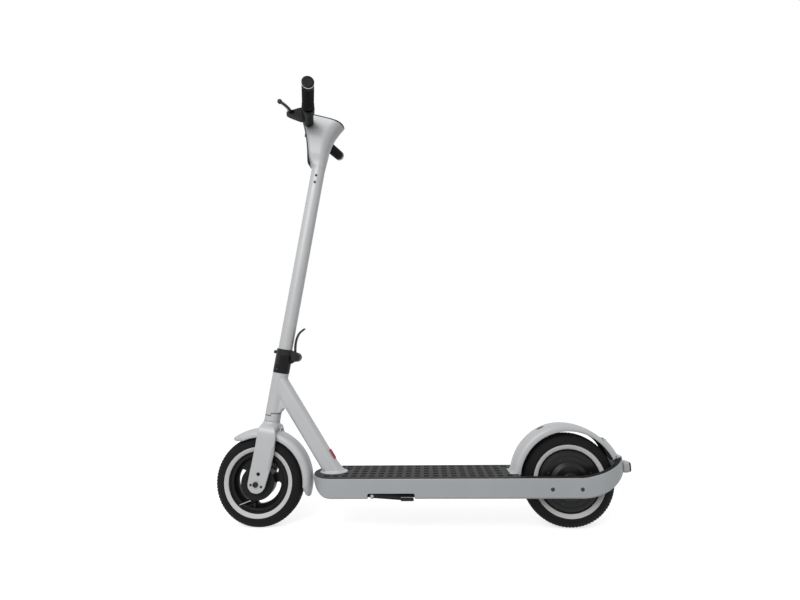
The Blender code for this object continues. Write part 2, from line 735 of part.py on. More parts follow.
def make_fork(steering):
    """Crown and legs cut from a front view and a side view, with the steerer on top."""
    outside = LEG_INSIDE + LEG_THICKNESS
    neck = HEAD_TUBE_DIAMETER / 2
    low = -LEG_WIDTH
    rise = CROWN_TOP - SHOULDER_HEIGHT
    outer = []
    for i in range(9):
        share = i / 8
        outer.append((neck + (outside - neck) * (1 - share ** 1.35) ** 1.15, SHOULDER_HEIGHT + rise * share))
    arch = 0.0105
    inner_start = CROWN_BOTTOM - 0.0315
    inner = arc((LEG_INSIDE - arch, inner_start), arch, 0, math.pi / 2, 6, 3.0)
    right = [(outside, low)] + outer
    left = [(-a, b) for a, b in right[::-1]]
    under = [(-a, b) for a, b in ([(LEG_INSIDE, low)] + inner)]
    front = right + left + under + [(-a, b) for a, b in under[::-1]]
    fork = add("fork", prism(front, -0.05, 0.05, "YZ"), PAINT, steering)
    half = LEG_WIDTH / 2
    side = arc((LEG_OFFSET, 0), half, math.pi, math.tau, 12)
    back = half + LEG_OFFSET
    steps = [0.25, 0.5, 0.75, 1.0]
    side += [(back + (SHOULDER_BACK - back) * (2 * a - a * a), SHOULDER_HEIGHT * a) for a in steps]
    side += [(SHOULDER_BACK - 0.0030, SHOULDER_HEIGHT + 0.45 * rise), (neck, CROWN_TOP - 0.010)]
    side += [(neck, CROWN_TOP + 0.01), (-neck, CROWN_TOP + 0.01), (-neck, CROWN_TOP - 0.008)]
    side.append((-SHOULDER_FRONT - 0.0015, SHOULDER_HEIGHT + 0.55 * rise))
    front_low = half - LEG_OFFSET
    for a in steps[::-1]:
        side.append((-front_low + (front_low - SHOULDER_FRONT) * a ** 1.6, SHOULDER_HEIGHT * a))
    shape(fork, prism(side, -0.08, 0.08), "INTERSECT")
    top = CROWN_TOP
    dome = [(0, -0.08), (0.08, -0.08), (0.08, top - 0.054), (0.060, top - 0.046), (0.046, top - 0.034)]
    dome += [(0.035, top - 0.022), (0.0275, top - 0.010), (neck + 0.0006, top + 0.0005), (0, top + 0.0005)]
    shape(fork, turned(dome, 28), "INTERSECT")
    crown_low = CROWN_BOTTOM + 0.004
    shape(fork, rod(neck, crown_low, CROWN_TOP, segments=40), "UNION")
    shape(fork, rod(STEERER_DIAMETER / 2, crown_low + 0.001, STEERER_TOP, segments=32), "UNION")
    shape(fork, rod(STEERER_DIAMETER / 2 - 0.003, HEAD_TUBE_BOTTOM, STEERER_TOP + 0.01, segments=24))
    shape(fork, rod(FRONT_AXLE_RADIUS + SEAT_GAP, -0.08, 0.08, "Y", segments=24))
    return fork


def channel(crest, sag, half_width, power):
    """Half of a fender's section: (sideways, radius) points from one edge over the crest to the other."""
    points = []
    for i in range(9):
        angle = math.pi * (1 - i / 8)
        c = math.cos(angle)
        s = math.sin(angle)
        across = half_width * math.copysign(abs(c) ** (2 / power), c)
        points.append((across, crest - sag + sag * abs(s) ** (2 / power)))
    return points


def fender_ring(angle, crest, sag, half_width, power):
    """One closed section of a fender, standing on the wheel's radius at an angle."""
    outer = channel(crest, sag, half_width, power)
    inner = channel(crest - FENDER_THICKNESS, sag, half_width - FENDER_THICKNESS * 0.8, power)
    points = outer + inner[::-1]
    return [(r * math.cos(angle), across, r * math.sin(angle)) for across, r in points]


def make_front_fender(steering):
    """Arched guard under the crown, with its mounting lug behind."""
    rings = []
    for i in range(19):
        share = 0.5 - 0.5 * math.cos(math.pi * i / 18)
        share = 0.5 * share + 0.5 * i / 18
        angle = FRONT_FENDER_START + (FRONT_FENDER_END - FRONT_FENDER_START) * share
        ends = min(1.0, min(share, 1 - share) / 0.10)
        taper = 0.42 + 0.58 * math.sqrt(ends)
        half = FRONT_FENDER_HALF_WIDTH * taper
        points = fender_ring(angle, FRONT_FENDER_RADIUS, FRONT_FENDER_SAG * taper * taper, half, 2.6)
        rings.append([(x + FENDER_SHIFT, y, z) for x, y, z in points])
    fender = add("front_fender", loft(rings), PAINT, steering)
    back = SHOULDER_BACK - 0.0050
    low = math.sqrt(FRONT_FENDER_RADIUS ** 2 - back ** 2) - 0.0025
    shape(fender, box((back, -0.008, low), (back + 0.004, 0.008, low + 0.013)), "UNION")
    return fender


def make_front_axle(steering):
    """Through axle with its two heads outside the legs."""
    face = LEG_INSIDE + LEG_THICKNESS + SEAT_GAP
    head = 0.0075
    thin = FRONT_AXLE_RADIUS
    end = face + 0.0045
    profile = [(0, -end), (head, -end), (head, -face), (thin, -face), (thin, face), (head, face), (head, end)]
    profile.append((0, end))
    return add("front_axle", turned(profile, 24, "Y"), BLACK_METAL, steering)


# Wheels

def tyre_profile():
    """Tyre section as (radius, sideways) points, slightly flattened across the tread."""
    half = TYRE_WIDTH / 2
    height = 0.030
    points = [(RIM_RADIUS + SEAT_GAP, -0.8 * half)]
    for i in range(11):
        angle = math.pi * (1 - i / 10)
        c = math.cos(angle)
        s = math.sin(angle)
        across = half * math.copysign(abs(c) ** (2 / 2.6), c)
        rise = (height + TREAD_RISE) * abs(s) ** (2 / 2.6)
        points.append((TYRE_RADIUS - height + min(height, rise), across))
    points.append((RIM_RADIUS + SEAT_GAP, 0.8 * half))
    return points


def slot_tool(phase):
    """One curved opening of the front rim, with round ends."""
    middle = (SLOT_INNER + SLOT_OUTER) / 2
    end = (SLOT_OUTER - SLOT_INNER) / 2
    start_angle = phase - SLOT_SPAN / 2 + end / middle
    end_angle = phase + SLOT_SPAN / 2 - end / middle
    outline = arc((0, 0), SLOT_OUTER, start_angle, end_angle, 8)
    tip = (middle * math.cos(end_angle), middle * math.sin(end_angle))
    outline += arc(tip, end, end_angle, end_angle + math.pi, 5)[1:-1]
    outline += arc((0, 0), SLOT_INNER, end_angle, start_angle, 8)
    tip = (middle * math.cos(start_angle), middle * math.sin(start_angle))
    outline += arc(tip, end, start_angle - math.pi, start_angle, 5)[1:-1]
    return prism(outline, -0.03, 0.03)


def make_front_wheel(steering):
    """Tyre, slotted rim with the brake drum, hub cover and valve."""
    wheel = empty("front_wheel_axis", (0, 0, 0), steering)
    add("front_tyre", turned(tyre_profile(), 44, "Y"), RUBBER, wheel)
    barrel = RIM_RADIUS - FLANGE_HEIGHT
    edge = 0.0205
    wall = 0.005
    left = -WEB_LEFT
    right = -WEB_RIGHT
    floor = 0.004
    profile = [
        (HUB_BORE, -HUB_FACE), (HUB_RADIUS, -HUB_FACE), (HUB_RADIUS, left - 0.001),
        (barrel - 0.001, left), (barrel, -edge), (RIM_RADIUS, -edge), (RIM_RADIUS, edge),
        (barrel, edge), (barrel - 0.001, right), (DRUM_RADIUS + wall, right + 0.001),
        (DRUM_RADIUS + wall, DRUM_FACE), (DRUM_RADIUS, DRUM_FACE), (DRUM_RADIUS, floor),
        (0.015, floor), (0.015, 0.024), (HUB_BORE, 0.024),
    ]
    rim = add("front_rim", turned(profile, 36, "Y"), BLACK_METAL, wheel)
    for i in range(SLOT_COUNT):
        shape(rim, slot_tool(SLOT_PHASE + math.tau * i / SLOT_COUNT))
    cover = ring(HUB_BORE, HUB_RADIUS - 0.001, -HUB_FACE - 0.0035, -HUB_FACE - SEAT_GAP, "Y")
    add("hub_cover", cover, BLACK_PLASTIC, wheel)
    make_front_valve(wheel, barrel - 0.0007 - SEAT_GAP)


def make_front_valve(wheel, reach):
    """Bent valve: a stub on the rim, between two slots, and a stem leaning out to the left."""
    angle = SLOT_PHASE + 1.5 * math.tau / SLOT_COUNT + math.radians(8)
    stub = 0.012
    side = -0.0150
    valve = rod(0.0040, reach - stub, reach, "X", segments=16)
    valve.transform(Matrix.Translation((0, side, 0)) @ Matrix.Rotation(-angle, 4, "Y"))
    valve = add("front_valve", valve, STEEL, wheel)
    foot = Vector(((reach - stub + 0.0025) * math.cos(angle), side, (reach - stub + 0.0025) * math.sin(angle)))
    out = Vector((-0.80, -0.45, -0.39)).normalized()
    turn = Vector((0, 0, 1)).rotation_difference(out).to_matrix().to_4x4()
    stem = rod(0.0018, 0.0, 0.030, segments=12)
    stem.transform(Matrix.Translation(foot) @ turn)
    shape(valve, stem, "UNION")
    return valve


def crescent(inner, outer, start, end):
    """A curved block outline between two radii."""
    return arc((0, 0), outer, start, end, 10) + arc((0, 0), inner, end, start, 10)


def make_brake(steering):
    """Drum brake: back plate, two shoes and the cam with its arm."""
    face = DRUM_FACE + SEAT_GAP
    plate = ring(HUB_BORE, DRUM_RADIUS + 0.005, face, face + 0.003, "Y", segments=36)
    plate = add("brake_plate", plate, BLACK_METAL, steering)
    shaft = 0.004
    shape(plate, rod(shaft + SEAT_GAP, 0.02, 0.04, "Y", (CAM_DISTANCE, 0, 0), 16))
    outer = DRUM_RADIUS - 0.0007
    gap = math.radians(20)
    for name, start in (("brake_shoe_upper", gap), ("brake_shoe_lower", gap + math.pi)):
        outline = crescent(outer - SHOE_THICKNESS, outer, start, start + math.pi - 2 * gap)
        add(name, prism(outline, 0.0105, DRUM_FACE), BLACK_METAL, steering)
    axis = empty("brake_arm_axis", (CAM_DISTANCE, 0, 0), steering)
    arm_start = face + 0.003 + SEAT_GAP
    arm_end = LEG_INSIDE - 0.0008
    outline = [(-0.0050, -0.0050), (0.0020, -0.0060), (0.0058, -0.0010), (0.0056, 0.0040), (-0.0046, 0.0262)]
    outline += [(-0.0095, 0.0288), (-0.0140, 0.0262), (-0.0145, 0.0215), (-0.0060, 0.0030)]
    arm = add("brake_arm", prism(outline, arm_start, arm_end), STEEL, axis)
    shape(arm, rod(shaft, 0.012, arm_start + 0.001, "Y", segments=16), "UNION")
    shape(arm, box((-0.0030, 0.0120, -0.0052), (0.0030, 0.026, 0.0052)), "UNION")


def make_rear_wheel():
    """Tyre on the hub motor's rim, closed by two stepped covers, with its valve."""
    wheel = empty("rear_wheel_axis", (FRONT_X + WHEELBASE, 0, TYRE_RADIUS))
    add("rear_tyre", turned(tyre_profile(), 44, "Y"), RUBBER, wheel)
    half = MOTOR_HALF_WIDTH
    add("motor_rim", ring(RIM_RADIUS - 0.0135, RIM_RADIUS, -half, half, "Y", segments=40), BLACK_METAL, wheel)
    bore = REAR_AXLE_RADIUS + 0.0004
    for name, side in (("motor_cover_left", -1), ("motor_cover_right", 1)):
        face = half + SEAT_GAP
        profile = [
            (bore, face), (RIM_RADIUS - 0.0015, face), (RIM_RADIUS - 0.0025, face + 0.0045),
            (0.053, face + 0.0055), (0.051, face + 0.0095), (0.024, face + 0.0110),
            (0.021, face + MOTOR_COVER_DEPTH), (bore, face + MOTOR_COVER_DEPTH),
        ]
        cover = turned([(r, side * h) for r, h in profile], 36, "Y")
        add(name, cover, BLACK_METAL, wheel)
    valve = rod(0.0026, -half - 0.0145, -half - 0.0058, "Y", (-0.0655, 0, 0.0), 12)
    add("rear_valve", valve, STEEL, wheel)


def make_rear_axle():
    """Fixed axle with its nuts, the stator on it and the two dropout plates that hold it."""
    place = (FRONT_X + WHEELBASE, 0, TYRE_RADIUS)
    thin = REAR_AXLE_RADIUS
    end = WELL_HALF_WIDTH - SEAT_GAP
    nut_end = DROPOUT_INSIDE - SEAT_GAP
    nut_start = AXLE_NUT_INSIDE
    half = [(thin, nut_start), (0.010, nut_start), (0.010, nut_end), (thin, nut_end), (thin, end), (0, end)]
    profile = [(r, -h) for r, h in half[::-1]] + half
    add("rear_axle", turned(profile, 20, "Y"), STEEL, location=place)
    reach = MOTOR_HALF_WIDTH - STATOR_INSET
    stator = ring(thin + SEAT_GAP, STATOR_RADIUS, -reach, reach, "Y", segments=24)
    add("motor_stator", stator, COPPER, location=place)
    for name, side in (("dropout_left", -1), ("dropout_right", 1)):
        low = min(side * DROPOUT_INSIDE, side * end)
        high = max(side * DROPOUT_INSIDE, side * end)
        outline = rounded_rectangle(0.126, 0.040, 0.008, 3)
        outline = [(a - 0.0195, b - 0.005) for a, b in outline]
        dropout = add(name, prism(outline, low, high), BLACK_METAL, location=place)
        shape(dropout, rod(thin + SEAT_GAP, -0.08, 0.08, "Y", segments=24))


# Rear fender and lights

def make_rear_fender():
    """Deep guard over the rear wheel, standing on the deck in front and on the tail loop behind."""
    place = (FRONT_X + WHEELBASE, 0, TYRE_RADIUS)
    base = DECK_TOP + SEAT_GAP - TYRE_RADIUS
    crest = REAR_FENDER_RADIUS
    end = math.pi - math.asin(base / (crest - REAR_FENDER_DEPTH))
    rings = []
    for i in range(21):
        share = i / 20
        angle = REAR_FENDER_START + (end - REAR_FENDER_START) * share
        blend = min(1.0, max(0.0, (math.degrees(angle) - 52) / 62))
        blend = blend * blend * (3 - 2 * blend)
        sag = REAR_FENDER_BACK_DEPTH + (REAR_FENDER_DEPTH - REAR_FENDER_BACK_DEPTH) * blend
        half = REAR_FENDER_HALF_WIDTH - 0.009 * (1 - blend)
        top = crest - REAR_FENDER_DROP * (1 - blend)
        rings.append(fender_ring(angle, top, sag, half, 2.2 + 1.2 * blend))
    fender = add("rear_fender", loft(rings), PAINT, location=place)
    foot_half = REAR_FENDER_HALF_WIDTH + 0.0015
    foot_start = FENDER_FOOT_START - WHEELBASE
    foot_end = -crest + REAR_FENDER_DEPTH - 0.001
    outline = [(foot_start, base), (foot_end, base), (foot_end, base + 0.0025)]
    outline.append((foot_start + 0.004, base + 0.0025))
    shape(fender, prism(outline, -foot_half, foot_half), "UNION")
    shape(fender, tail_foot_tool(crest), "UNION")
    shape(fender, hook_slot_tool())
    return fender


def tail_foot_tool(crest):
    """The fender's rear foot, whose underside follows the tail trim."""
    back = TAIL_X - WHEELBASE - 0.003
    front = TAIL_X - WHEELBASE - TAIL_WALL + 0.001
    angle = REAR_FENDER_START + math.radians(1.5)
    top = (crest - REAR_FENDER_DROP - 0.0040) * math.sin(angle)
    lift = MAT_THICKNESS + SEAT_GAP - TYRE_RADIUS
    outline = [(front, deck_top(front + WHEELBASE) + lift), (back, deck_top(back + WHEELBASE) + lift)]
    outline += [(back, top), (front, top)]
    return prism(outline, -0.018, 0.018)


def hook_slot_tool():
    """The slot that the cockpit's hook drops into when the stem is folded."""
    bm = box((-HOOK_SLOT_LENGTH / 2, -HOOK_SLOT_WIDTH / 2, -0.02), (HOOK_SLOT_LENGTH / 2, HOOK_SLOT_WIDTH / 2, 0.02))
    turn = Matrix.Rotation(-(HOOK_SLOT_ANGLE - math.pi / 2), 4, "Y")
    bm.transform(turn @ Matrix.Translation((0, 0, REAR_FENDER_RADIUS)))
    return bm


def make_plate_bracket():
    """Curved plate on the back of the rear fender."""
    place = (FRONT_X + WHEELBASE, 0, TYRE_RADIUS)
    crest = REAR_FENDER_RADIUS - REAR_FENDER_DROP
    low = crest + 0.0020
    outline = crescent(low, low + BRACKET_THICKNESS, BRACKET_START, BRACKET_END)
    half = BRACKET_HALF_WIDTH
    bracket = add("plate_bracket", prism(outline, -half, half), PAINT, location=place)
    for angle in (BRACKET_START + math.radians(3), BRACKET_END - math.radians(3)):
        outline = crescent(crest + SEAT_GAP, low + 0.001, angle - 0.02, angle + 0.02)
        shape(bracket, prism(outline, -0.004, 0.004), "UNION")
    return bracket


def make_tail_light():
    """Housing on the loop's end and the lens behind it."""
    top = deck_top(TAIL_X) - LIGHT_DROP
    low = top - LIGHT_HEIGHT
    front = TAIL_X + SEAT_GAP
    back = TAIL_X + LIGHT_LENGTH - LENS_THICKNESS
    outline = rounded_rectangle(LIGHT_WIDTH, LIGHT_HEIGHT, 0.007, 3)
    rings = []
    for x, scale in ((front, 1.0), (back - 0.006, 1.0), (back, 0.94)):
        rings.append([(x, a * scale, (top + low) / 2 + b * scale) for a, b in outline])
    housing = add("tail_light_housing", loft(rings), PAINT, location=(FRONT_X, 0, 0))
    rings = []
    for x, scale in ((back + SEAT_GAP, 0.88), (TAIL_X + LIGHT_LENGTH - 0.001, 0.86), (TAIL_X + LIGHT_LENGTH, 0.80)):
        rings.append([(x, a * scale, (top + low) / 2 + b * scale) for a, b in outline])
    add("tail_light_lens", loft(rings), RED_LENS, location=(FRONT_X, 0, 0))
    return housing


# Fold joint

def make_fold_base(steering):
    """Lower half of the fold joint, clamped on the steerer, with two knuckles for the pin."""
    outer = FOLD_DIAMETER / 2
    low = HEAD_TUBE_TOP + SEAT_GAP
    base = add("fold_base", rod(outer, low, FOLD_SPLIT, segments=40), BLACK_METAL, steering)
    size = 0.06
    shape(base, box((-size, -size, SKIRT_BOTTOM - SEAT_GAP), (SKIRT_BACK, size, FOLD_SPLIT + size)))
    shape(base, rod(STEERER_DIAMETER / 2 + SEAT_GAP, low - 0.02, STEERER_TOP + SEAT_GAP))
    for side in (-1, 1):
        sides = sorted((side * KNUCKLE_INSIDE, side * KNUCKLE_OUTSIDE))
        outline = arc((FOLD_PIVOT_N, FOLD_PIVOT_S), KNUCKLE_RADIUS, -0.35 * math.pi, 0.75 * math.pi, 12)
        outline += [(outer + 0.0008, FOLD_SPLIT), (outer - 0.005, FOLD_SPLIT), (outer - 0.005, FOLD_SPLIT - 0.024)]
        outline.append((outer + 0.002, FOLD_SPLIT - 0.022))
        shape(base, prism(outline, *sides), "UNION")
    shape(base, pin_tool())
    return base


def pin_tool():
    """The hole for the fold pin."""
    return rod(PIN_RADIUS + SEAT_GAP, -0.04, 0.04, "Y", (FOLD_PIVOT_N, 0, FOLD_PIVOT_S), 20)


def stem_piece(name, bm, finish, fold):
    """Hang a piece that was modelled in the steering frame on the fold axis."""
    return add(name, bm, finish, fold, (-FOLD_PIVOT_N, 0, -FOLD_PIVOT_S))


def make_fold_top(fold):
    """Upper half: band, front skirt, the two cheeks that carry the pin and the stem's spigot."""
    outer = FOLD_DIAMETER / 2
    low = FOLD_SPLIT + SEAT_GAP
    top = stem_piece("fold_top", rod(outer, SKIRT_BOTTOM, FOLD_TOP, segments=40), BLACK_METAL, fold)
    size = 0.06
    shape(top, box((SKIRT_BACK - SEAT_GAP, -size, SKIRT_BOTTOM - size), (size, size, low)))
    for side in (-1, 1):
        sides = sorted((side * CHEEK_INSIDE, side * CHEEK_OUTSIDE))
        outline = arc((FOLD_PIVOT_N, FOLD_PIVOT_S), LOBE_RADIUS, -0.98 * math.pi, 0.5 * math.pi, 18)
        outline += [(0.004, FOLD_PIVOT_S + LOBE_RADIUS), (0.004, low + 0.0005), (outer + 0.0006, low + 0.0005)]
        shape(top, prism(outline, *sides), "UNION")
    spigot = STEM_RADIUS - STEM_WALL - SEAT_GAP
    shape(top, rod(spigot, FOLD_TOP - 0.001, FOLD_TOP + SPIGOT_LENGTH), "UNION")
    shape(top, pin_tool())
    depth = SAFETY_TRAVEL + 0.0125
    shape(top, rod(SAFETY_RADIUS + SEAT_GAP, -outer - 0.01, -outer + depth, "X", (0, 0, SAFETY_S), 20))
    return top


def make_fold_pin(fold):
    """Hinge pin with a low head at each end."""
    face = CHEEK_OUTSIDE + SEAT_GAP
    head = 0.0055
    end = face + 0.002
    profile = [(0, -end), (head, -end), (head, -face), (PIN_RADIUS, -face), (PIN_RADIUS, face), (head, face)]
    profile += [(head, end), (0, end)]
    bm = turned(profile, 20, "Y", (FOLD_PIVOT_N, 0, FOLD_PIVOT_S))
    return stem_piece("fold_pin", bm, STEEL, fold)


def make_latch_lever(fold):
    """Cam lever on the fold pin, its arm curving up behind the stem."""
    boss_half = KNUCKLE_INSIDE - SEAT_GAP
    lever = rod(LATCH_BOSS_RADIUS, -boss_half, boss_half, "Y", (FOLD_PIVOT_N, 0, FOLD_PIVOT_S), 24)
    lever = stem_piece("latch_lever", lever, BLACK_METAL, fold)
    half = LATCH_THICKNESS / 2
    base_n = FOLD_PIVOT_N - 0.0387
    base_s = FOLD_PIVOT_S - 0.3648
    spine = [(0.0335, 0.3720), (0.0308, 0.3830), (0.0286, 0.3960), (0.0281, 0.4080), (0.0286, 0.4190),
             (0.0315, 0.4310), (0.0362, 0.4400), (0.0480, 0.4530)]
    spine = [(n + base_n, s + base_s) for n, s in spine]
    rings = []
    for i, (n, s) in enumerate(spine):
        before = spine[max(0, i - 1)]
        after = spine[min(len(spine) - 1, i + 1)]
        length = math.hypot(after[0] - before[0], after[1] - before[1])
        across = ((after[1] - before[1]) / length * half, -(after[0] - before[0]) / length * half)
        wide = boss_half if i < 1 else LATCH_WIDTH / 2
        rings.append([
            (n - across[0], -wide, s - across[1]), (n + across[0], -wide, s + across[1]),
            (n + across[0], wide, s + across[1]), (n - across[0], wide, s - across[1]),
        ])
    shape(lever, loft(rings), "UNION")
    shape(lever, pin_tool())
    return lever


def make_safety_button(fold):
    """Button at the front that frees the latch."""
    outer = FOLD_DIAMETER / 2
    start = -outer - 0.0085
    bm = rod(SAFETY_RADIUS, start, -outer + 0.0120, "X", (0, 0, SAFETY_S), 20)
    return stem_piece("safety_button", bm, BLACK_METAL, fold)


# Stem and cockpit

def make_stem_tube(fold):
    """Round tube from the fold joint up into the cockpit."""
    bm = ring(STEM_RADIUS - STEM_WALL, STEM_RADIUS, FOLD_TOP + SEAT_GAP, STEM_TOP, segments=36)
    return stem_piece("stem_tube", bm, PAINT, fold)


def head_front():
    """The cockpit's front edge from the bottom up, as (n, s) points."""
    low = HEAD_BOTTOM
    return [
        (-HEAD_NECK_HALF_WIDTH, low - 0.003), (-0.0272, low), (-0.0305, low + 0.005),
        (-HEAD_FACE_N, BAR_S - 0.075), (-0.0540, BAR_S - 0.032), (-0.0735, BAR_S + 0.014), (-0.0812, BAR_S + 0.0310),
    ]


def head_top():
    """The cockpit's top edge from front to back."""
    return [(-0.0830, BAR_S + 0.0364), (0.0139, BAR_S + 0.0262), (0.0352, BAR_S + 0.0210), (0.0560, BAR_S + 0.0145)]


def head_back():
    """The cockpit's rear edge from the bottom up."""
    low = HEAD_BOTTOM
    neck = STEM_RADIUS + HEAD_BACK_WALL
    return [
        (neck, low - 0.003), (neck, low + 0.025), (neck + 0.0012, low + 0.048), (0.0278, BAR_S - 0.049),
        (0.0332, BAR_S - 0.028), (0.0410, BAR_S - 0.004), (0.0488, BAR_S + 0.006), (0.0560, BAR_S + 0.0135),
        (0.0580, BAR_S + 0.05),
    ]


def head_width():
    """Half the cockpit's width from the bottom up."""
    neck = HEAD_NECK_HALF_WIDTH
    return [(neck, HEAD_BOTTOM - 0.003), (neck + 0.001, HEAD_BOTTOM + 0.012), (HEAD_HALF_WIDTH - 0.004, HEAD_BOTTOM + 0.048),
            (HEAD_HALF_WIDTH, BAR_S - 0.032), (HEAD_HALF_WIDTH, BAR_S + 0.09)]


def at_height(points, s):
    """Read a broken line of (value, s) points at a height."""
    for (low, start), (high, end) in zip(points, points[1:]):
        if s <= end:
            return low + (high - low) * (s - start) / (end - start)
    return points[-1][0]


def lowered(points, amount):
    return [(n, s - amount) for n, s in points]


def head_ring(s, shift, inset=0.0):
    """The cockpit's section at a height: flat in front, a soft bow behind."""
    front = at_height(head_front() + [(-0.0950, BAR_S + 0.062)], s) + shift
    back = at_height(head_back(), s)
    half = at_height(head_width(), s) - inset
    corner = 0.008
    bow = 0.028 if s > HEAD_BOTTOM + 0.05 else 0.022
    points = [(front, -half + corner), (front + 0.3 * corner, -half + 0.3 * corner), (front + corner, -half)]
    for i in range(1, 10):
        angle = math.pi * (i / 10 - 0.5)
        c = abs(math.cos(angle)) ** (2 / 3)
        across = math.copysign(abs(math.sin(angle)) ** (2 / 3), angle)
        points.append((back - bow + bow * c, half * across))
    points += [(front + corner, half), (front + 0.3 * corner, half - 0.3 * corner), (front, half - corner)]
    return [(n, y, s) for n, y in points]


def head_solid(shift, inset=0.0):
    """The cockpit's whole outer form, running past its slanted top."""
    corners = head_front() + head_back() + head_width()
    heights = sorted({round(s, 6) for n, s in corners if s < BAR_S + 0.035})
    heights.append(BAR_S + 0.050)
    return loft([head_ring(s, shift, inset) for s in heights])


def make_cockpit_shell(fold):
    """Painted housing that widens from the stem to the display."""
    shell = stem_piece("cockpit_shell", head_solid(PANEL_THICKNESS + SEAT_GAP), PAINT, fold)
    under = lowered(head_top(), DISPLAY_THICKNESS + SEAT_GAP)
    high = BAR_S + 0.1
    under = [(-0.12, under[0][1] + 0.005)] + under + [(0.09, under[-1][1] - 0.010), (0.09, high), (-0.12, high)]
    shape(shell, prism(under, -0.2, 0.2))
    shape(shell, rod(STEM_RADIUS + SEAT_GAP, HEAD_BOTTOM - 0.02, STEM_TOP + SEAT_GAP, segments=40))
    shape(shell, rod(BAR_DIAMETER / 2 + SEAT_GAP, -0.06, 0.06, "Y", (BAR_N, 0, BAR_S), 28))
    return shell


def make_headlight_panel(fold):
    """Dark panel down the cockpit's front with the headlight behind it."""
    front = head_front()[2:]
    back = [(n + PANEL_THICKNESS, s) for n, s in front[::-1]]
    half = PANEL_HALF_WIDTH
    return stem_piece("headlight_panel", prism(front + back, -half, half), CLEAR_LENS, fold)


def make_display_cover(fold):
    """Glossy display on top, with a pocket for the power button."""
    top = head_top()
    under = lowered(top, DISPLAY_THICKNESS)[::-1]
    cover = stem_piece("display_cover", prism(top + under, -0.06, 0.06), CLEAR_LENS, fold)
    shape(cover, head_solid(0.001, 0.0004), "INTERSECT")
    depth = DISPLAY_THICKNESS * 0.7
    shape(cover, button_rod(BUTTON_RADIUS + SEAT_GAP, -depth, 0.01))
    return cover


def button_frame():
    """Place and tilt of the power button on the display."""
    front, back = head_top()[:2]
    share = 0.80
    centre = Vector((front[0] + (back[0] - front[0]) * share, 0, front[1] + (back[1] - front[1]) * share))
    slope = math.atan2(front[1] - back[1], back[0] - front[0])
    return Matrix.Translation(centre) @ Matrix.Rotation(slope, 4, "Y")


def button_rod(radius, start, end):
    bm = rod(radius, start, end, segments=28)
    bm.transform(button_frame())
    return bm


def make_power_button(fold):
    """Push button in the display."""
    depth = DISPLAY_THICKNESS * 0.7 - BUTTON_TRAVEL - SEAT_GAP
    return stem_piece("power_button", button_rod(BUTTON_RADIUS, -depth, BUTTON_PROUD), BLACK_PLASTIC, fold)


# Handlebar

def bar_direction(side):
    """The way one half of the handlebar points, outwards."""
    out = Vector((math.sin(BAR_SWEEP), side * math.cos(BAR_SWEEP), math.tan(BAR_LIFT)))
    return out.normalized()


def bar_length():
    """Length of the swept part of one side, to the end of its cap."""
    out = bar_direction(1)
    return (BAR_WIDTH / 2 - KINK_Y - GRIP_DIAMETER / 2 * math.sin(BAR_SWEEP)) / out.y


def bar_frame(side, fold):
    """An empty at the bend, its Z along the bar, its X as near rearward as that allows."""
    out = bar_direction(side)
    back = (Vector((1, 0, 0)) - out * out.x).normalized()
    turn = Matrix((back, out.cross(back), out)).transposed()
    name = "bar_left" if side < 0 else "bar_right"
    place = (BAR_N - FOLD_PIVOT_N, side * KINK_Y, BAR_S - FOLD_PIVOT_S)
    return empty(name, place, fold, turn)


def make_handlebar(fold):
    """Bent tube: straight through the cockpit, swept back on both sides."""
    radius = BAR_DIAMETER / 2
    tube_end = bar_length() - END_CAP_THICKNESS - SEAT_GAP
    centre = Vector((BAR_N, 0, BAR_S))
    rings = []
    for side, distance in ((-1, tube_end), (-1, 0.0), (1, 0.0), (1, tube_end)):
        out = bar_direction(side)
        origin = centre + Vector((0, side * KINK_Y, 0)) + out * distance
        along = out * side if distance else (out * side + Vector((0, 1, 0))).normalized()
        back = (Vector((1, 0, 0)) - along * along.x).normalized()
        up = back.cross(along)
        points = []
        for i in range(24):
            angle = math.tau * i / 24
            points.append(origin + back * (radius * math.cos(angle)) + up * (radius * math.sin(angle)))
        rings.append(points)
    return stem_piece("handlebar", loft(rings), BLACK_METAL, fold)


def make_grips(frames):
    """Rubber grips and end caps on both sides."""
    bore = BAR_DIAMETER / 2 + SEAT_GAP
    outer = GRIP_DIAMETER / 2
    end = bar_length() - END_CAP_THICKNESS - SEAT_GAP
    start = GRIP_START
    profile = [(bore, start), (outer - 0.001, start), (outer + 0.0012, start + 0.001), (outer + 0.0012, start + 0.004)]
    profile += [(outer - 0.0008, start + 0.006), (outer, end - 0.002), (outer, end), (bore, end)]
    for name, frame in frames.items():
        add(f"grip_{name}", turned(profile, 24), RUBBER, frame)
        face = end + SEAT_GAP
        cap = [(0, face), (outer, face), (outer, face + END_CAP_THICKNESS - 0.0015)]
        cap += [(outer - 0.0015, face + END_CAP_THICKNESS), (0, face + END_CAP_THICKNESS)]
        add(f"end_cap_{name}", turned(cap, 24), BLACK_PLASTIC, frame)


def housing_profile():
    """Sleeve next to the cockpit with a wider clamp at its outer end."""
    bore = BAR_DIAMETER / 2 + SEAT_GAP
    sleeve = HOUSING_DIAMETER / 2
    clamp = CLAMP_DIAMETER / 2
    start = HOUSING_START
    middle = HOUSING_END
    end = CLAMP_END
    return [(bore, start), (sleeve, start), (sleeve, middle), (clamp, middle + 0.003), (clamp, end - 0.002),
            (clamp - 0.002, end), (bore, end)]


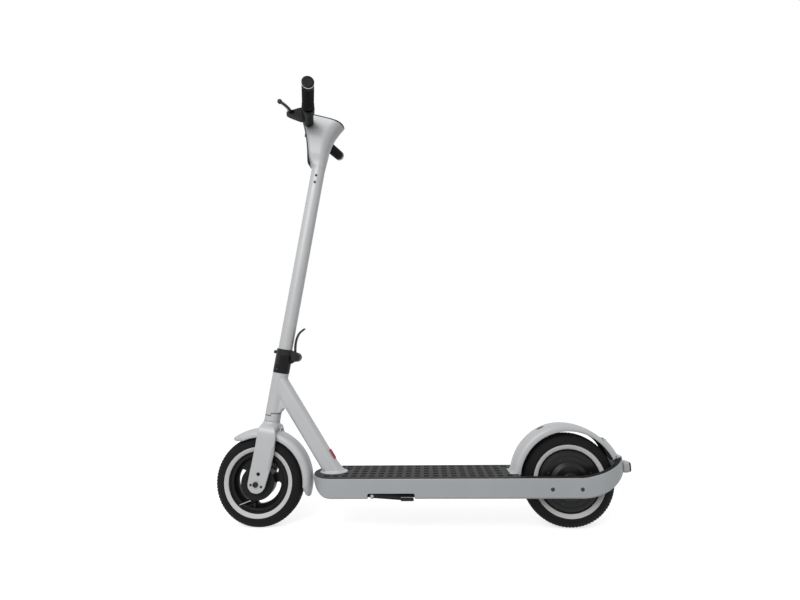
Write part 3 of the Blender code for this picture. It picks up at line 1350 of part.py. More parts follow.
def make_brake_perch(frame):
    """Sleeve on the left bar with the bracket that carries the brake lever."""
    perch = add("brake_perch", turned(housing_profile(), 28), BLACK_PLASTIC, frame)
    tip = LEVER_PIVOT_X
    drop = LEVER_PIVOT_DROP
    outline = [
        (-0.006, 0.0165), (-0.016, 0.0150), (-0.028, 0.0105), (-0.038, 0.0040), (tip + 0.003, 0.0065 - drop),
        (tip - 0.008, 0.0052 - drop), (tip - 0.0125, 0.001 - drop), (tip - 0.011, -0.0045 - drop),
        (tip - 0.002, -0.0080 - drop), (-0.036, -0.0185), (-0.016, -0.0205), (-0.006, -0.0150),
    ]
    end = PERCH_END
    shape(perch, prism(outline, PERCH_START, end, "XY"), "UNION")
    slot = LEVER_HEIGHT / 2 + SEAT_GAP
    low = (tip - 0.05, -slot - drop, LEVER_PIVOT_W - LEVER_EYE_RADIUS - RUNNING_GAP)
    shape(perch, box(low, (tip + LEVER_EYE_RADIUS + 0.003, slot - drop, end + 0.02)))
    shape(perch, rod(PIN_RADIUS + SEAT_GAP, -0.03, 0.03, "Y", (tip, 0, LEVER_PIVOT_W), 16))
    shape(perch, rod(BAR_DIAMETER / 2 + SEAT_GAP, 0.0, 0.12, segments=28))
    return perch


def make_brake_lever(frame):
    """Drooping blade with a ball end, turning on its pin in the perch."""
    axis = empty("brake_lever_axis", (LEVER_PIVOT_X, -LEVER_PIVOT_DROP, LEVER_PIVOT_W), frame)
    half = LEVER_HEIGHT / 2
    lever = add("brake_lever", rod(LEVER_EYE_RADIUS, -half, half, "Y", segments=24), BLACK_METAL, axis)
    rings = []
    straight = PERCH_END - LEVER_PIVOT_W + 0.001
    steps = 9
    for i in range(steps + 1):
        share = i / steps
        w = LEVER_REACH * share
        free = max(0.0, w - straight) / (LEVER_REACH - straight)
        bend = free * free * (3 - 2 * free)
        x = -LEVER_FLARE * (0.35 * free + 0.65 * free * free)
        y = -LEVER_DROOP * bend
        thick = 0.0036 - 0.0006 * share
        tall = min(half, 0.0034)
        rings.append([(x - thick, y - tall, w), (x + thick, y - tall, w), (x + thick, y + tall, w),
                      (x - thick, y + tall, w)])
    shape(lever, loft(rings), "UNION")
    radius = 0.0060
    ball = [(0, -radius)] + [(radius * math.cos(a), radius * math.sin(a)) for a in
                             (math.radians(d) for d in range(-54, 55, 27))] + [(0, radius)]
    centre = (-LEVER_FLARE, -LEVER_DROOP, LEVER_REACH)
    shape(lever, turned(ball, 16, "Z", centre), "UNION")
    shape(lever, rod(PIN_RADIUS, -0.0075, 0.0060, "Y", segments=16), "UNION")
    return lever


def make_throttle(frame):
    """Throttle housing on the right bar and the thumb paddle beside it."""
    bore = BAR_DIAMETER / 2 + SEAT_GAP
    sleeve = HOUSING_DIAMETER / 2
    clamp = CLAMP_DIAMETER / 2
    start = HOUSING_START
    end = HOUSING_END
    profile = [(bore, start), (sleeve, start), (sleeve, end - 0.012), (clamp, end - 0.010), (clamp, end), (bore, end)]
    add("throttle_housing", turned(profile, 28), BLACK_PLASTIC, frame)
    low = end + RUNNING_GAP
    high = low + THROTTLE_WIDTH
    lever = add("throttle_lever", ring(bore, clamp - 0.001, low, high, segments=28), BLACK_PLASTIC, frame)
    reach = clamp + THROTTLE_LENGTH
    outline = [(0.013, -0.0030), (reach - 0.003, -0.0022), (reach, 0.0), (reach - 0.003, 0.0028), (0.013, 0.0040)]
    paddle = prism(outline, low, high, "XY")
    paddle.transform(Matrix.Rotation(THROTTLE_ANGLE, 4, "Z"))
    shape(lever, paddle, "UNION")
    return lever


# Kickstand

def make_kickstand():
    """Stand folded back into its pocket, on a pivot that leans so that it swings out."""
    lean = Matrix.Rotation(-STAND_LEAN, 3, "X")
    axis = empty("kickstand_axis", (FRONT_X + STAND_X, STAND_Y, STAND_Z), rotation=lean)
    half = STAND_HALF_WIDTH
    eye = STAND_EYE_RADIUS
    arm = ring(0.0033, eye, -half, half, "Y", segments=24)
    arm = add("kickstand_arm", arm, BLACK_METAL, axis)
    foot_start = STAND_LENGTH - FOOT_LENGTH
    drop = STAND_DROP * foot_start / STAND_LENGTH
    outline = [(0.0040, -0.0044), (foot_start, -drop - 0.0046), (foot_start, -drop + 0.0026), (0.0040, 0.0044)]
    shape(arm, prism(outline, -half, half), "UNION")
    tang_end = STAND_LENGTH - 0.008
    outline = [(foot_start - 0.001, -drop - 0.003), (tang_end, -STAND_DROP - 0.0030), (tang_end, -STAND_DROP)]
    outline.append((foot_start - 0.001, -drop))
    shape(arm, prism(outline, -half + 0.002, half - 0.002), "UNION")
    shape(arm, rod(0.0033, -0.02, 0.02, "Y", segments=20))
    foot = box((foot_start + SEAT_GAP, -half - 0.0015, -STAND_DROP - 0.0052),
               (STAND_LENGTH, half + 0.0015, -STAND_DROP + 0.0040))
    foot = add("kickstand_foot", foot, RUBBER, axis)
    hole = [(foot_start - 0.004, -drop - 0.0034), (tang_end + 0.0006, -STAND_DROP - 0.0034)]
    hole += [(tang_end + 0.0006, -STAND_DROP + 0.0006), (foot_start - 0.004, -drop + 0.0006)]
    shape(foot, prism(hole, -half + 0.0016, half - 0.0016))
    head = 0.0048
    profile = [(0, -half - 0.0030), (head, -half - 0.0030), (head, -half - SEAT_GAP), (0.0030, -half - SEAT_GAP)]
    profile += [(0.0030, half + STAND_BOLT_REACH), (0, half + STAND_BOLT_REACH)]
    add("kickstand_bolt", turned(profile, 20, "Y"), STEEL, axis)
    make_kickstand_bracket(half)


def make_kickstand_bracket(half):
    """Block in the pocket's corner, its face leaning with the stand, bored for the bolt's end."""
    roof = DECK_BOTTOM + RECESS_HEIGHT - SEAT_GAP
    wall = -DECK_WIDTH / 2 + RECESS_DEPTH - SEAT_GAP
    low = STAND_Z - 0.004
    start = RECESS_START + RECESS_CORNER
    end = STAND_X + 0.009
    face_y = STAND_Y + half * math.cos(STAND_LEAN) + SEAT_GAP
    face_z = STAND_Z - half * math.sin(STAND_LEAN)
    outline = [(face_y + (z - face_z) * math.tan(STAND_LEAN), z) for z in (low, roof)]
    outline += [(wall, roof), (wall, low)]
    bracket = add("kickstand_bracket", prism(outline, start, end, "YZ"), BLACK_METAL, location=(FRONT_X, 0, 0))
    bore = rod(0.0030 + SEAT_GAP, half - 0.003, half + STAND_BOLT_REACH + SEAT_GAP, "Y", segments=20)
    turn = Matrix.Rotation(-STAND_LEAN, 4, "X")
    bore.transform(Matrix.Translation((STAND_X, STAND_Y, STAND_Z)) @ turn)
    shape(bracket, bore)
    return bracket


def build():
    clear_scene()
    make_deck_frame()
    make_deck_cover()
    make_battery()
    make_deck_mat()
    make_tail_trim()
    make_neck_frame()
    make_charge_port()
    make_charge_cap()
    make_headset()
    turn = Matrix.Rotation(STEERING_TILT, 3, "Y")
    steering = empty("steering_axis", (FRONT_X, 0, TYRE_RADIUS), rotation=turn)
    make_fork(steering)
    make_front_fender(steering)
    make_front_axle(steering)
    make_front_wheel(steering)
    make_brake(steering)
    make_rear_wheel()
    make_rear_axle()
    make_rear_fender()
    make_plate_bracket()
    make_tail_light()
    make_fold_base(steering)
    fold = empty("fold_axis", (FOLD_PIVOT_N, 0, FOLD_PIVOT_S), steering)
    make_fold_top(fold)
    make_fold_pin(fold)
    make_latch_lever(fold)
    make_safety_button(fold)
    make_stem_tube(fold)
    make_cockpit_shell(fold)
    make_headlight_panel(fold)
    make_display_cover(fold)
    make_power_button(fold)
    make_handlebar(fold)
    frames = {"left": bar_frame(-1, fold), "right": bar_frame(1, fold)}
    make_grips(frames)
    make_brake_perch(frames["left"])
    make_brake_lever(frames["left"])
    make_throttle(frames["right"])
    make_kickstand()


build()
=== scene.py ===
"""Looks of the folding electric scooter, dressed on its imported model.

The sections follow the scooter as it is put together: deck, neck, fork, wheels, rear fender, fold joint,
stem, cockpit, handlebar with its controls, and kickstand, then the floor, the lights and the camera.
"""

import math

import bmesh
import bpy
from mathutils import Matrix, Vector


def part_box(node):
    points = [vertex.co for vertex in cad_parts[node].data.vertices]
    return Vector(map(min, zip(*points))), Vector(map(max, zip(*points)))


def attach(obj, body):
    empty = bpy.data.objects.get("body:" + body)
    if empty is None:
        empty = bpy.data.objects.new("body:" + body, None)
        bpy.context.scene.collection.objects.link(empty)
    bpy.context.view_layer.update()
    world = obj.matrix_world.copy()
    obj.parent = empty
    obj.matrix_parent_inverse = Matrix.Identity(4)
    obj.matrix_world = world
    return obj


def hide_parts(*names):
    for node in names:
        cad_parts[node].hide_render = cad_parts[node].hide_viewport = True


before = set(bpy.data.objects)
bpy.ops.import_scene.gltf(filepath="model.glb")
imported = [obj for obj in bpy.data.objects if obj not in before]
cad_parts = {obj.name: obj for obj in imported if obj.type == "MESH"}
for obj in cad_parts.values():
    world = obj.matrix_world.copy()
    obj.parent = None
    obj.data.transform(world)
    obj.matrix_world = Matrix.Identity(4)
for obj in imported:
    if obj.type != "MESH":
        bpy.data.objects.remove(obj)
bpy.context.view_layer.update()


# Deck. An extruded aluminium body whose sides run on into an upswept loop round the rear wheel, powder
# coated in satin grey. A pocket in its left bottom edge takes the kickstand, and two screws on each
# side hold the plates that carry the rear axle.

FRONT_X = -0.4605
AXLE_Z = 0.127
DECK_HALF = 0.0725
DECK_LOW = 0.0942
DECK_TOP = 0.1475
NOSE_X = 0.1565
NOSE_LENGTH = 0.064
NOSE_END = NOSE_X + NOSE_LENGTH
TAIL_X = 1.0257
TAIL_ROUND = 0.085
TAIL_CURVE = 0.130
TAIL_WALL = 0.018
TAIL_START = TAIL_X - TAIL_ROUND
RISE_START = TAIL_X - TAIL_CURVE
WELL_START = 0.737
WELL_HALF = 0.0575
CAVITY_START = 0.262
CAVITY_END = 0.703
CAVITY_HALF = 0.050
POCKET_START = 0.318
POCKET_END = 0.447
POCKET_TOP = DECK_LOW + 0.0153
POCKET_DEPTH = 0.019
POCKET_CORNER = 0.005
RAIL_SCREWS = [(0.3549, 0.1188), (0.4330, 0.1188)]
TO_DECK = Matrix.Translation((FRONT_X, 0, 0))


def arc(centre, radius, start, end, steps, squash=1.0):
    """Points along an arc or a squashed arc, its angles in radians."""
    points = []
    for i in range(steps + 1):
        angle = start + (end - start) * i / steps
        points.append((centre[0] + radius * math.cos(angle), centre[1] + radius * squash * math.sin(angle)))
    return points


def loft(rings, bm=None):
    """Skin equal rings of points and cap the two ends, as a new shape or added to one."""
    bm = bmesh.new() if bm is None else bm
    rows = [[bm.verts.new(point) for point in ring] for ring in rings]
    bm.faces.new(rows[0])
    bm.faces.new(rows[-1][::-1])
    count = len(rows[0])
    for low, high in zip(rows, rows[1:]):
        for i in range(count):
            j = (i + 1) % count
            bm.faces.new((low[i], low[j], high[j], high[i]))
    return bm


def prism(outline, start, end, plane="XZ"):
    """Extrude an outline along the axis that its plane leaves out."""
    order = {"XZ": lambda a, b, depth: (a, depth, b), "XY": lambda a, b, depth: (a, b, depth),
             "YZ": lambda a, b, depth: (depth, a, b)}[plane]
    return loft([[order(a, b, depth) for a, b in outline] for depth in (start, end)])


def block(low, high):
    """A block between two corners."""
    outline = [(low[0], low[1]), (high[0], low[1]), (high[0], high[1]), (low[0], high[1])]
    return prism(outline, low[2], high[2], "XY")


def turned(profile, segments=96, axis="Z", centre=(0, 0, 0)):
    """Turn (radius, height) points about an axis; a zero radius makes a pole."""
    bm = bmesh.new()
    rows = []
    for radius, height in profile:
        row = []
        for i in range(segments if radius > 0 else 1):
            a = radius * math.cos(math.tau * i / segments)
            b = radius * math.sin(math.tau * i / segments)
            point = {"X": (height, a, b), "Y": (a, height, b), "Z": (a, b, height)}[axis]
            row.append(bm.verts.new(Vector(point) + Vector(centre)))
        rows.append(row)
    pairs = list(zip(rows, rows[1:]))
    if profile[0][0] > 0:
        pairs.append((rows[-1], rows[0]))
    for low, high in pairs:
        for i in range(segments):
            j = (i + 1) % segments
            corners = [low[i % len(low)], low[j % len(low)], high[j % len(high)], high[i % len(high)]]
            bm.faces.new(list(dict.fromkeys(corners)))
    return bm


def rod(radius, start, end, axis="Z", centre=(0, 0, 0), segments=64):
    """A plain round bar, used to build and to bore."""
    return turned([(0, start), (radius, start), (radius, end), (0, end)], segments, axis, centre)


def both_sides(near, far):
    """The spans from near to far on the left and on the right, each with its lower end first."""
    return [sorted((side * near, side * far)) for side in (-1, 1)]


def shade(obj, angle=32.0):
    """Smooth shading, with creases where faces meet at more than an angle."""
    obj.data.shade_smooth()
    obj.data.set_sharp_from_angle(angle=math.radians(angle))
    return obj


def piece(name, bm, place=None):
    """Make an object of a bmesh, moved to its place and with its faces turned outwards."""
    if place is not None:
        bm.transform(place)
    bmesh.ops.recalc_face_normals(bm, faces=bm.faces)
    mesh = bpy.data.meshes.new(name)
    bm.to_mesh(mesh)
    bm.free()
    obj = bpy.data.objects.new(name, mesh)
    bpy.context.scene.collection.objects.link(obj)
    return shade(obj)


def settle(obj):
    """Turn an object's modifiers into its plain mesh."""
    graph = bpy.context.evaluated_depsgraph_get()
    mesh = bpy.data.meshes.new_from_object(obj.evaluated_get(graph))
    worn_out = obj.data
    obj.modifiers.clear()
    obj.data = mesh
    bpy.data.meshes.remove(worn_out)
    return obj


def cut(obj, bm, place=None, operation="DIFFERENCE"):
    """Cut a shape out of a piece, or join or intersect the two."""
    tool = piece("tool", bm, place)
    modifier = obj.modifiers.new("cut", "BOOLEAN")
    modifier.operation = operation
    modifier.solver = "EXACT"
    modifier.object = tool
    settle(obj)
    bpy.data.objects.remove(tool)


def ease(obj, width, segments=2, angle=32.0):
    """Round a piece's edges, then even out the shading of its flat faces."""
    bevel = obj.modifiers.new("ease", "BEVEL")
    bevel.width = width
    bevel.segments = segments
    bevel.limit_method = "ANGLE"
    bevel.angle_limit = math.radians(angle)
    bevel.miter_outer = "MITER_ARC"
    settle(obj)
    shade(obj, 50.0)
    normals = obj.modifiers.new("normals", "WEIGHTED_NORMAL")
    normals.keep_sharp = True
    return settle(obj)


def soften(obj, voxel, rounds):
    """Flow a welded or moulded piece together, as fillets and a coat of paint do."""
    remesh = obj.modifiers.new("remesh", "REMESH")
    remesh.mode = "VOXEL"
    remesh.voxel_size = voxel
    smooth = obj.modifiers.new("smooth", "SMOOTH")
    smooth.factor = 0.5
    smooth.iterations = rounds
    settle(obj)
    return shade(obj, 180.0)


def add_node(tree, kind, inputs=None, **settings):
    """Add a node, give it its settings, and give or link its inputs."""
    node = tree.nodes.new(kind)
    for key, value in settings.items():
        setattr(node, key, value)
    for key, value in (inputs or {}).items():
        if isinstance(value, bpy.types.NodeSocket):
            tree.links.new(value, node.inputs[key])
        else:
            node.inputs[key].default_value = value
    return node


def maths(tree, operation, *values):
    """One step of arithmetic in a node tree."""
    return add_node(tree, "ShaderNodeMath", dict(enumerate(values)), operation=operation).outputs[0]


def remap(tree, value, start, stop, low=0.0, high=1.0):
    """Spread a value's stretch from start to stop over the stretch from low to high."""
    return add_node(tree, "ShaderNodeMapRange", {"Value": value, "From Min": start, "From Max": stop,
                    "To Min": low, "To Max": high}).outputs["Result"]


def mixed(tree, share, under, over):
    """Lay a share of a plain colour over another colour."""
    return add_node(tree, "ShaderNodeMix", {0: share, 6: under, 7: (*over, 1.0)}, data_type="RGBA").outputs[2]


def finish(name, colour, roughness, metallic=0.0, grain=0.0016, relief=0.00002, mottle=0.05, worn=None,
           edge=0.0012, coat=0.0, gloss_spread=0.06, shine=0.5):
    """A finish with cloudy colour, uneven gloss, a fine raised grain and edges rubbed lighter."""
    look = bpy.data.materials.new(name)
    look.use_nodes = True
    tree = look.node_tree
    shader = tree.nodes["Principled BSDF"]
    shader.inputs["Metallic"].default_value = metallic
    shader.inputs["Coat Weight"].default_value = coat
    shader.inputs["Specular IOR Level"].default_value = shine
    spot = tree.nodes.new("ShaderNodeTexCoord").outputs["Object"]
    cloud = add_node(tree, "ShaderNodeTexNoise",
                     {"Vector": spot, "Scale": 11.0, "Detail": 4.0, "Roughness": 0.6}).outputs["Fac"]
    fine = add_node(tree, "ShaderNodeTexNoise",
                    {"Vector": spot, "Scale": 1.0 / grain, "Detail": 2.0}).outputs["Fac"]
    ramp = add_node(tree, "ShaderNodeValToRGB", {"Fac": cloud})
    for k, position, change in ((0, 0.3, 1 - mottle), (1, 0.7, 1 + mottle)):
        ramp.color_ramp.elements[k].position = position
        ramp.color_ramp.elements[k].color = (*[min(1.0, c * change) for c in colour], 1.0)
    tint = ramp.outputs["Color"]
    if worn is not None:
        rounded = add_node(tree, "ShaderNodeBevel", {"Radius": edge}, samples=4)
        face = tree.nodes.new("ShaderNodeNewGeometry").outputs["Normal"]
        turn = add_node(tree, "ShaderNodeVectorMath", {0: rounded.outputs["Normal"], 1: face},
                        operation="DOT_PRODUCT")
        bare = remap(tree, turn.outputs["Value"], 0.97, 0.80, 0.0, 0.9)
        tint = mixed(tree, maths(tree, "MULTIPLY", bare, remap(tree, fine, 0.35, 0.6)), tint, worn)
    tree.links.new(tint, shader.inputs["Base Color"])
    gloss = remap(tree, cloud, 0.3, 0.7, roughness - gloss_spread, roughness + gloss_spread)
    tree.links.new(gloss, shader.inputs["Roughness"])
    bump = add_node(tree, "ShaderNodeBump", {"Height": fine, "Distance": relief, "Strength": 1.0})
    tree.links.new(bump.outputs["Normal"], shader.inputs["Normal"])
    return look


def dress(obj, body, slot, look, *nodes, place=None):
    """Move a piece to its place, and give it its finish, its body and the nodes that it stands for."""
    if place is not None:
        obj.data.transform(place)
    obj.data.materials.clear()
    obj.data.materials.append(look)
    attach(obj, body)
    if nodes:
        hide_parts(*nodes)


def deck_half(x, inset=0.0):
    """Half the deck's width at a distance behind the front axle, drawn in by a margin."""
    share = 0.0
    if x < NOSE_END:
        share = (NOSE_END - x) / (NOSE_LENGTH - inset)
    if x > TAIL_START:
        share = (x - TAIL_START) / (TAIL_ROUND - inset)
    return (DECK_HALF - inset) * math.sqrt(max(0.0, 1 - share * share))


def tail_share(x):
    """How far a point lies along the upswept tail."""
    return max(0.0, x - RISE_START) / TAIL_CURVE


def deck_top(x):
    """The height of the deck's top, which sweeps up at the tail."""
    return DECK_TOP + 0.0425 * tail_share(x) ** 1.5


def deck_low(x):
    """The height of the deck's bottom, which rises at the nose and the tail."""
    nose = max(0.0, NOSE_END - x) / NOSE_LENGTH
    return DECK_LOW + 0.045 * nose ** 2.8 + 0.060 * tail_share(x) ** 1.9


def deck_section(x):
    """One section of the deck: a wide radius along the bottom edges, a small one along the top."""
    half = deck_half(x)
    low = deck_low(x)
    high = deck_top(x)
    wide = min(0.006, 0.4 * half, 0.4 * (high - low))
    small = min(0.0022, 0.3 * half, 0.3 * (high - low))
    right = arc((half - wide, low + wide), wide, -math.pi / 2, 0, 5)
    right += arc((half - small, high - small), small, 0, math.pi / 2, 4)
    return [(x, y, z) for y, z in right] + [(x, -y, z) for y, z in right[::-1]]


def well_outline():
    """The wheel opening, seen from above."""
    corner = 0.012
    reach = TAIL_ROUND - TAIL_WALL
    points = arc((WELL_START + corner, WELL_HALF - corner), corner, math.pi / 2, math.pi, 8)
    points += arc((WELL_START + corner, -WELL_HALF + corner), corner, math.pi, 1.5 * math.pi, 8)
    return points + arc((TAIL_START, 0), reach, -math.pi / 2, math.pi / 2, 40, WELL_HALF / reach)


paint = finish("satin_grey_paint", (0.595, 0.605, 0.615), 0.42, 0.10, 0.0022, 0.000012, 0.025,
               worn=(0.70, 0.705, 0.71), gloss_spread=0.05, shine=0.4)
# The deck has the frame's paint, but its grey is mixed darker as painted shade for the weaker light down at
# the deck.
deck_paint_shaded = finish("deck_grey_paint", (0.43, 0.449, 0.463), 0.44, 0.15, 0.0022, 0.000012, 0.04,
                    worn=(0.64, 0.65, 0.66), gloss_spread=0.05, shine=0.4)

stations = [NOSE_END - NOSE_LENGTH * math.cos(math.radians(a)) for a in range(4, 90, 4)]
stations += [NOSE_END, RISE_START - 0.001]
stations += [RISE_START + (TAIL_START - RISE_START) * i / 10 for i in range(10)]
stations += [TAIL_START + TAIL_ROUND * math.sin(math.radians(a)) for a in range(0, 88, 3)]
deck = piece("scooter_deck", loft([deck_section(x) for x in stations]), TO_DECK)
cut(deck, prism(well_outline(), 0.0, 0.25, "XY"), TO_DECK)
cut(deck, block((CAVITY_START, -CAVITY_HALF, 0.08), (CAVITY_END, CAVITY_HALF, DECK_TOP - 0.006)), TO_DECK)
bend = POCKET_TOP - POCKET_CORNER
pocket = [(POCKET_START, 0.08), (POCKET_END, 0.08)]
pocket += arc((POCKET_END - POCKET_CORNER, bend), POCKET_CORNER, 0, math.pi / 2, 6)
pocket += arc((POCKET_START + POCKET_CORNER, bend), POCKET_CORNER, math.pi / 2, math.pi, 6)
cut(deck, prism(pocket, -DECK_HALF - 0.01, -DECK_HALF + POCKET_DEPTH), TO_DECK)
for x, z in RAIL_SCREWS:
    for low, high in both_sides(DECK_HALF - 0.0030, DECK_HALF + 0.01):
        cut(deck, rod(0.0056, low, high, "Y", (x, 0, z), 40))
ease(deck, 0.0007, 2, 40)
dress(deck, "frame", "grey_paint", deck_paint_shaded, "deck_frame")


# Screws. Socket head screws of black steel, pressed from one shape: a low domed head with a six sided
# socket. Each group is set on its points by a small node tree, every head facing along its own aim.

moulds = []


def node_tree(name, sockets):
    """A geometry node tree with one geometry in, one out, and named inputs for its sizes."""
    tree = bpy.data.node_groups.new(name, "GeometryNodeTree")
    tree.interface.new_socket("Geometry", in_out="INPUT", socket_type="NodeSocketGeometry")
    for label, kind in sockets:
        tree.interface.new_socket(label, in_out="INPUT", socket_type=f"NodeSocket{kind}")
    tree.interface.new_socket("Geometry", in_out="OUTPUT", socket_type="NodeSocketGeometry")
    return tree


def grow(obj, tree, **values):
    """Run a node tree on an object with its inputs set, and keep the result as a plain mesh."""
    modifier = obj.modifiers.new("grow", "NODES")
    modifier.node_group = tree
    for item in tree.interface.items_tree:
        label = item.name.replace(" ", "_").lower()
        if item.item_type == "SOCKET" and item.in_out == "INPUT" and label in values:
            modifier[item.identifier] = values[label]
    settle(obj)
    return shade(obj)


def close_tree(tree, source, shape):
    """End a tree with its instances made real and its material set."""
    real = add_node(tree, "GeometryNodeRealizeInstances", {"Geometry": shape})
    done = add_node(tree, "GeometryNodeSetMaterial", {"Geometry": real.outputs[0],
                    "Material": source.outputs["Finish"]})
    out = tree.nodes.new("NodeGroupOutput")
    tree.links.new(done.outputs[0], out.inputs[0])


def hidden_shape(name, bm):
    """A shape that a node tree repeats, dropped once the trees have run."""
    obj = piece(name, bm)
    moulds.append(obj)
    return obj


def screw_head():
    """A screw head of unit radius with its socket, its face towards +Z and its seat at zero."""
    rows = [[(math.cos(math.tau * i / 24) * r, math.sin(math.tau * i / 24) * r, z) for i in range(24)]
            for r, z in ((1.0, -0.25), (1.0, 0.05), (0.93, 0.30), (0.72, 0.50), (0.55, 0.56))]
    for reach, depth in ((0.50, 0.56), (0.47, 0.12)):
        ring = []
        for i in range(24):
            angle = math.tau * i / 24
            flat = math.cos(math.pi / 6) / math.cos((angle % (math.pi / 3)) - math.pi / 6)
            ring.append((math.cos(angle) * reach * flat, math.sin(angle) * reach * flat, depth))
        rows.append(ring)
    return loft(rows)


screw_tree = node_tree("screws_on_points", [("Head", "Object"), ("Radius", "Float"), ("Finish", "Material")])
given = screw_tree.nodes.new("NodeGroupInput")
head = add_node(screw_tree, "GeometryNodeObjectInfo", {"Object": given.outputs["Head"]})
aim = add_node(screw_tree, "GeometryNodeInputNamedAttribute", {"Name": "aim"}, data_type="FLOAT_VECTOR")
turn = add_node(screw_tree, "FunctionNodeAlignRotationToVector", {"Vector": aim.outputs["Attribute"]},
                axis="Z")
placed = add_node(screw_tree, "GeometryNodeInstanceOnPoints", {
    "Points": given.outputs["Geometry"], "Instance": head.outputs["Geometry"],
    "Rotation": turn.outputs["Rotation"], "Scale": given.outputs["Radius"]})
close_tree(screw_tree, given, placed.outputs["Instances"])
screw_shape = hidden_shape("screw_shape", screw_head())
screw_steel = finish("black_screw_steel", (0.045, 0.047, 0.05), 0.34, 0.85, 0.0008, 0.000006, 0.10,
                     worn=(0.25, 0.25, 0.26), edge=0.0004)


def screws(name, body, points, radius, place=Matrix()):
    """Set a group of screws on (point, aim) pairs, as one mesh on one body."""
    mesh = bpy.data.meshes.new(name)
    mesh.from_pydata([tuple(place @ Vector(point)) for point, aim in points], [], [])
    turn = place.to_3x3()
    aims = mesh.attributes.new("aim", "FLOAT_VECTOR", "POINT")
    aims.data.foreach_set("vector", [c for point, aim in points for c in (turn @ Vector(aim)).normalized()])
    obj = bpy.data.objects.new(name, mesh)
    bpy.context.scene.collection.objects.link(obj)
    grow(obj, screw_tree, head=screw_shape, radius=radius, finish=screw_steel)
    dress(obj, body, "steel", screw_steel)


def on_both_sides(spots):
    """Points and aims for a screw on each side of every (x, y, z) spot."""
    return [((x, side * y, z), (0, side, 0)) for x, y, z in spots for side in (-1, 1)]


screws("rail_screws", "frame", on_both_sides([(x, DECK_HALF - 0.0026, z) for x, z in RAIL_SCREWS]), 0.0048)


# Deck cover, battery and controller. A pressed plate in black closes the bottom behind twenty screws.
# Above it lie the shrink wrapped battery and the controller in its black case.

def copy_of(node, name, width, segments=2):
    """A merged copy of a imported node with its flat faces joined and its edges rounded."""
    bm = bmesh.new()
    bm.from_mesh(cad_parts[node].data)
    bmesh.ops.remove_doubles(bm, verts=bm.verts, dist=2e-6)
    bmesh.ops.dissolve_limit(bm, angle_limit=math.radians(0.6), verts=bm.verts, edges=bm.edges)
    return ease(piece(name, bm), width, segments)


def rounded_box(half_a, half_b, corner, radius, steps, centre=(0, 0)):
    """A box's outline with an arc in each corner, about a centre that lies in from both sides."""
    points = []
    for a, b, start in ((1, 1, 0), (-1, 1, 90), (-1, -1, 180), (1, -1, 270)):
        middle = (centre[0] + a * (half_a - corner), centre[1] + b * (half_b - corner))
        points += arc(middle, radius, math.radians(start), math.radians(start + 90), steps)
    return points


black_paint = finish("black_satin_paint", (0.012, 0.0122, 0.0128), 0.42, 0.0, 0.0012, 0.00002, 0.14,
                     worn=(0.06, 0.06, 0.062), edge=0.0009, shine=0.3)
battery_wrap = finish("blue_shrink_wrap", (0.03, 0.09, 0.30), 0.28, 0.0, 0.006, 0.00025, 0.12, coat=0.3)

cover = copy_of("deck_cover", "bottom_plate", 0.0008)
low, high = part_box("deck_cover")
for i in range(5):
    y = -0.032 + 0.016 * i
    groove_high = (high[0] - 0.03, y + 0.003, low[2] + 0.0008)
    cut(cover, block((low[0] + 0.03, y - 0.003, low[2] - 0.001), groove_high))
dress(cover, "frame", "black_paint", black_paint, "deck_cover")
screw_z = low[2] + 0.0004
rows = [low[0] + 0.008 + (high[0] - low[0] - 0.016) * i / 8 for i in range(9)]
spots = [(x, y) for x in rows for y in (low[1] + 0.007, high[1] - 0.007)] + [(rows[0], 0), (rows[-1], 0)]
screws("bottom_plate_screws", "frame", [((x, y, screw_z), (0, 0, -1)) for x, y in spots], 0.0028)

low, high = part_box("battery_pack")
rings = []
for i in range(97):
    x = low[0] + (high[0] - low[0]) * i / 96
    draw = 0.0007 - 0.0007 * abs(math.sin(math.pi * i / 6)) + (0.0012 if i in (0, 96) else 0.0)
    outline = rounded_box((high[1] - low[1]) / 2 - draw, (high[2] - low[2]) / 2 - draw, 0.004, 0.004, 4,
                          ((low[1] + high[1]) / 2, (low[2] + high[2]) / 2))
    rings.append([(x, y, z) for y, z in outline])
dress(piece("wrapped_battery", loft(rings)), "frame", "battery_wrap", battery_wrap, "battery_pack")

case = copy_of("controller_box", "controller_case", 0.0010)
low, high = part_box("controller_box")
for i in range(11):
    y = low[1] + 0.006 + (high[1] - low[1] - 0.012) * i / 10
    groove_low = (low[0] - 0.001, y - 0.0014, high[2] - 0.003)
    cut(case, block(groove_low, (high[0] + 0.001, y + 0.0014, high[2] + 0.001)))
dress(case, "frame", "black_paint", black_paint, "controller_box")


# Deck mat. Moulded rubber with a field of raised pads, a low rim, and openings for the neck's foot and
# the fender's foot. It is glued into place. Pads and pips are laid by one node tree, clipped to the mat.

MAT_LOW = 0.1478
MAT_TOP = 0.1505
FLANGE_X = 0.2140
FOOT_START = 0.712
PAD_PITCH_X = 0.0252
PAD_PITCH_Y = 0.0262
FIELD_MIDDLE = Vector((FRONT_X + 0.455, 0, MAT_TOP))

mat_rubber = finish("moulded_mat_rubber", (0.043, 0.0435, 0.0445), 0.78, 0.0, 0.0007, 0.00009, 0.12,
                    worn=(0.07, 0.07, 0.07), edge=0.0006, shine=0.35)
# The pads are coloured far darker than the mat: painted shade for the shaded walls of the raised pads.
pad_rubber_painted_shade = finish("mat_pad_rubber", (0.006, 0.006, 0.0065), 0.74, 0.0, 0.0006, 0.00008, 0.15,
                    worn=(0.016, 0.016, 0.016), edge=0.0004, shine=0.12)


def mat_plan(inset):
    """The mat's outline from above, drawn in by a margin."""
    xs = [NOSE_END - (NOSE_LENGTH - inset) * math.cos(math.radians(a)) for a in range(0, 91, 3)]
    side = [(x, deck_half(x, inset)) for x in xs[1:]]
    side.append((WELL_START - 0.0015 - inset, DECK_HALF - inset))
    return [(xs[0], 0.0)] + side + [(x, -y) for x, y in side[::-1]]


def oval(length, width):
    """The outline of the neck's foot at half its length and half its width."""
    return arc((FLANGE_X, 0), length, 0, math.tau * 63 / 64, 63, width / length)


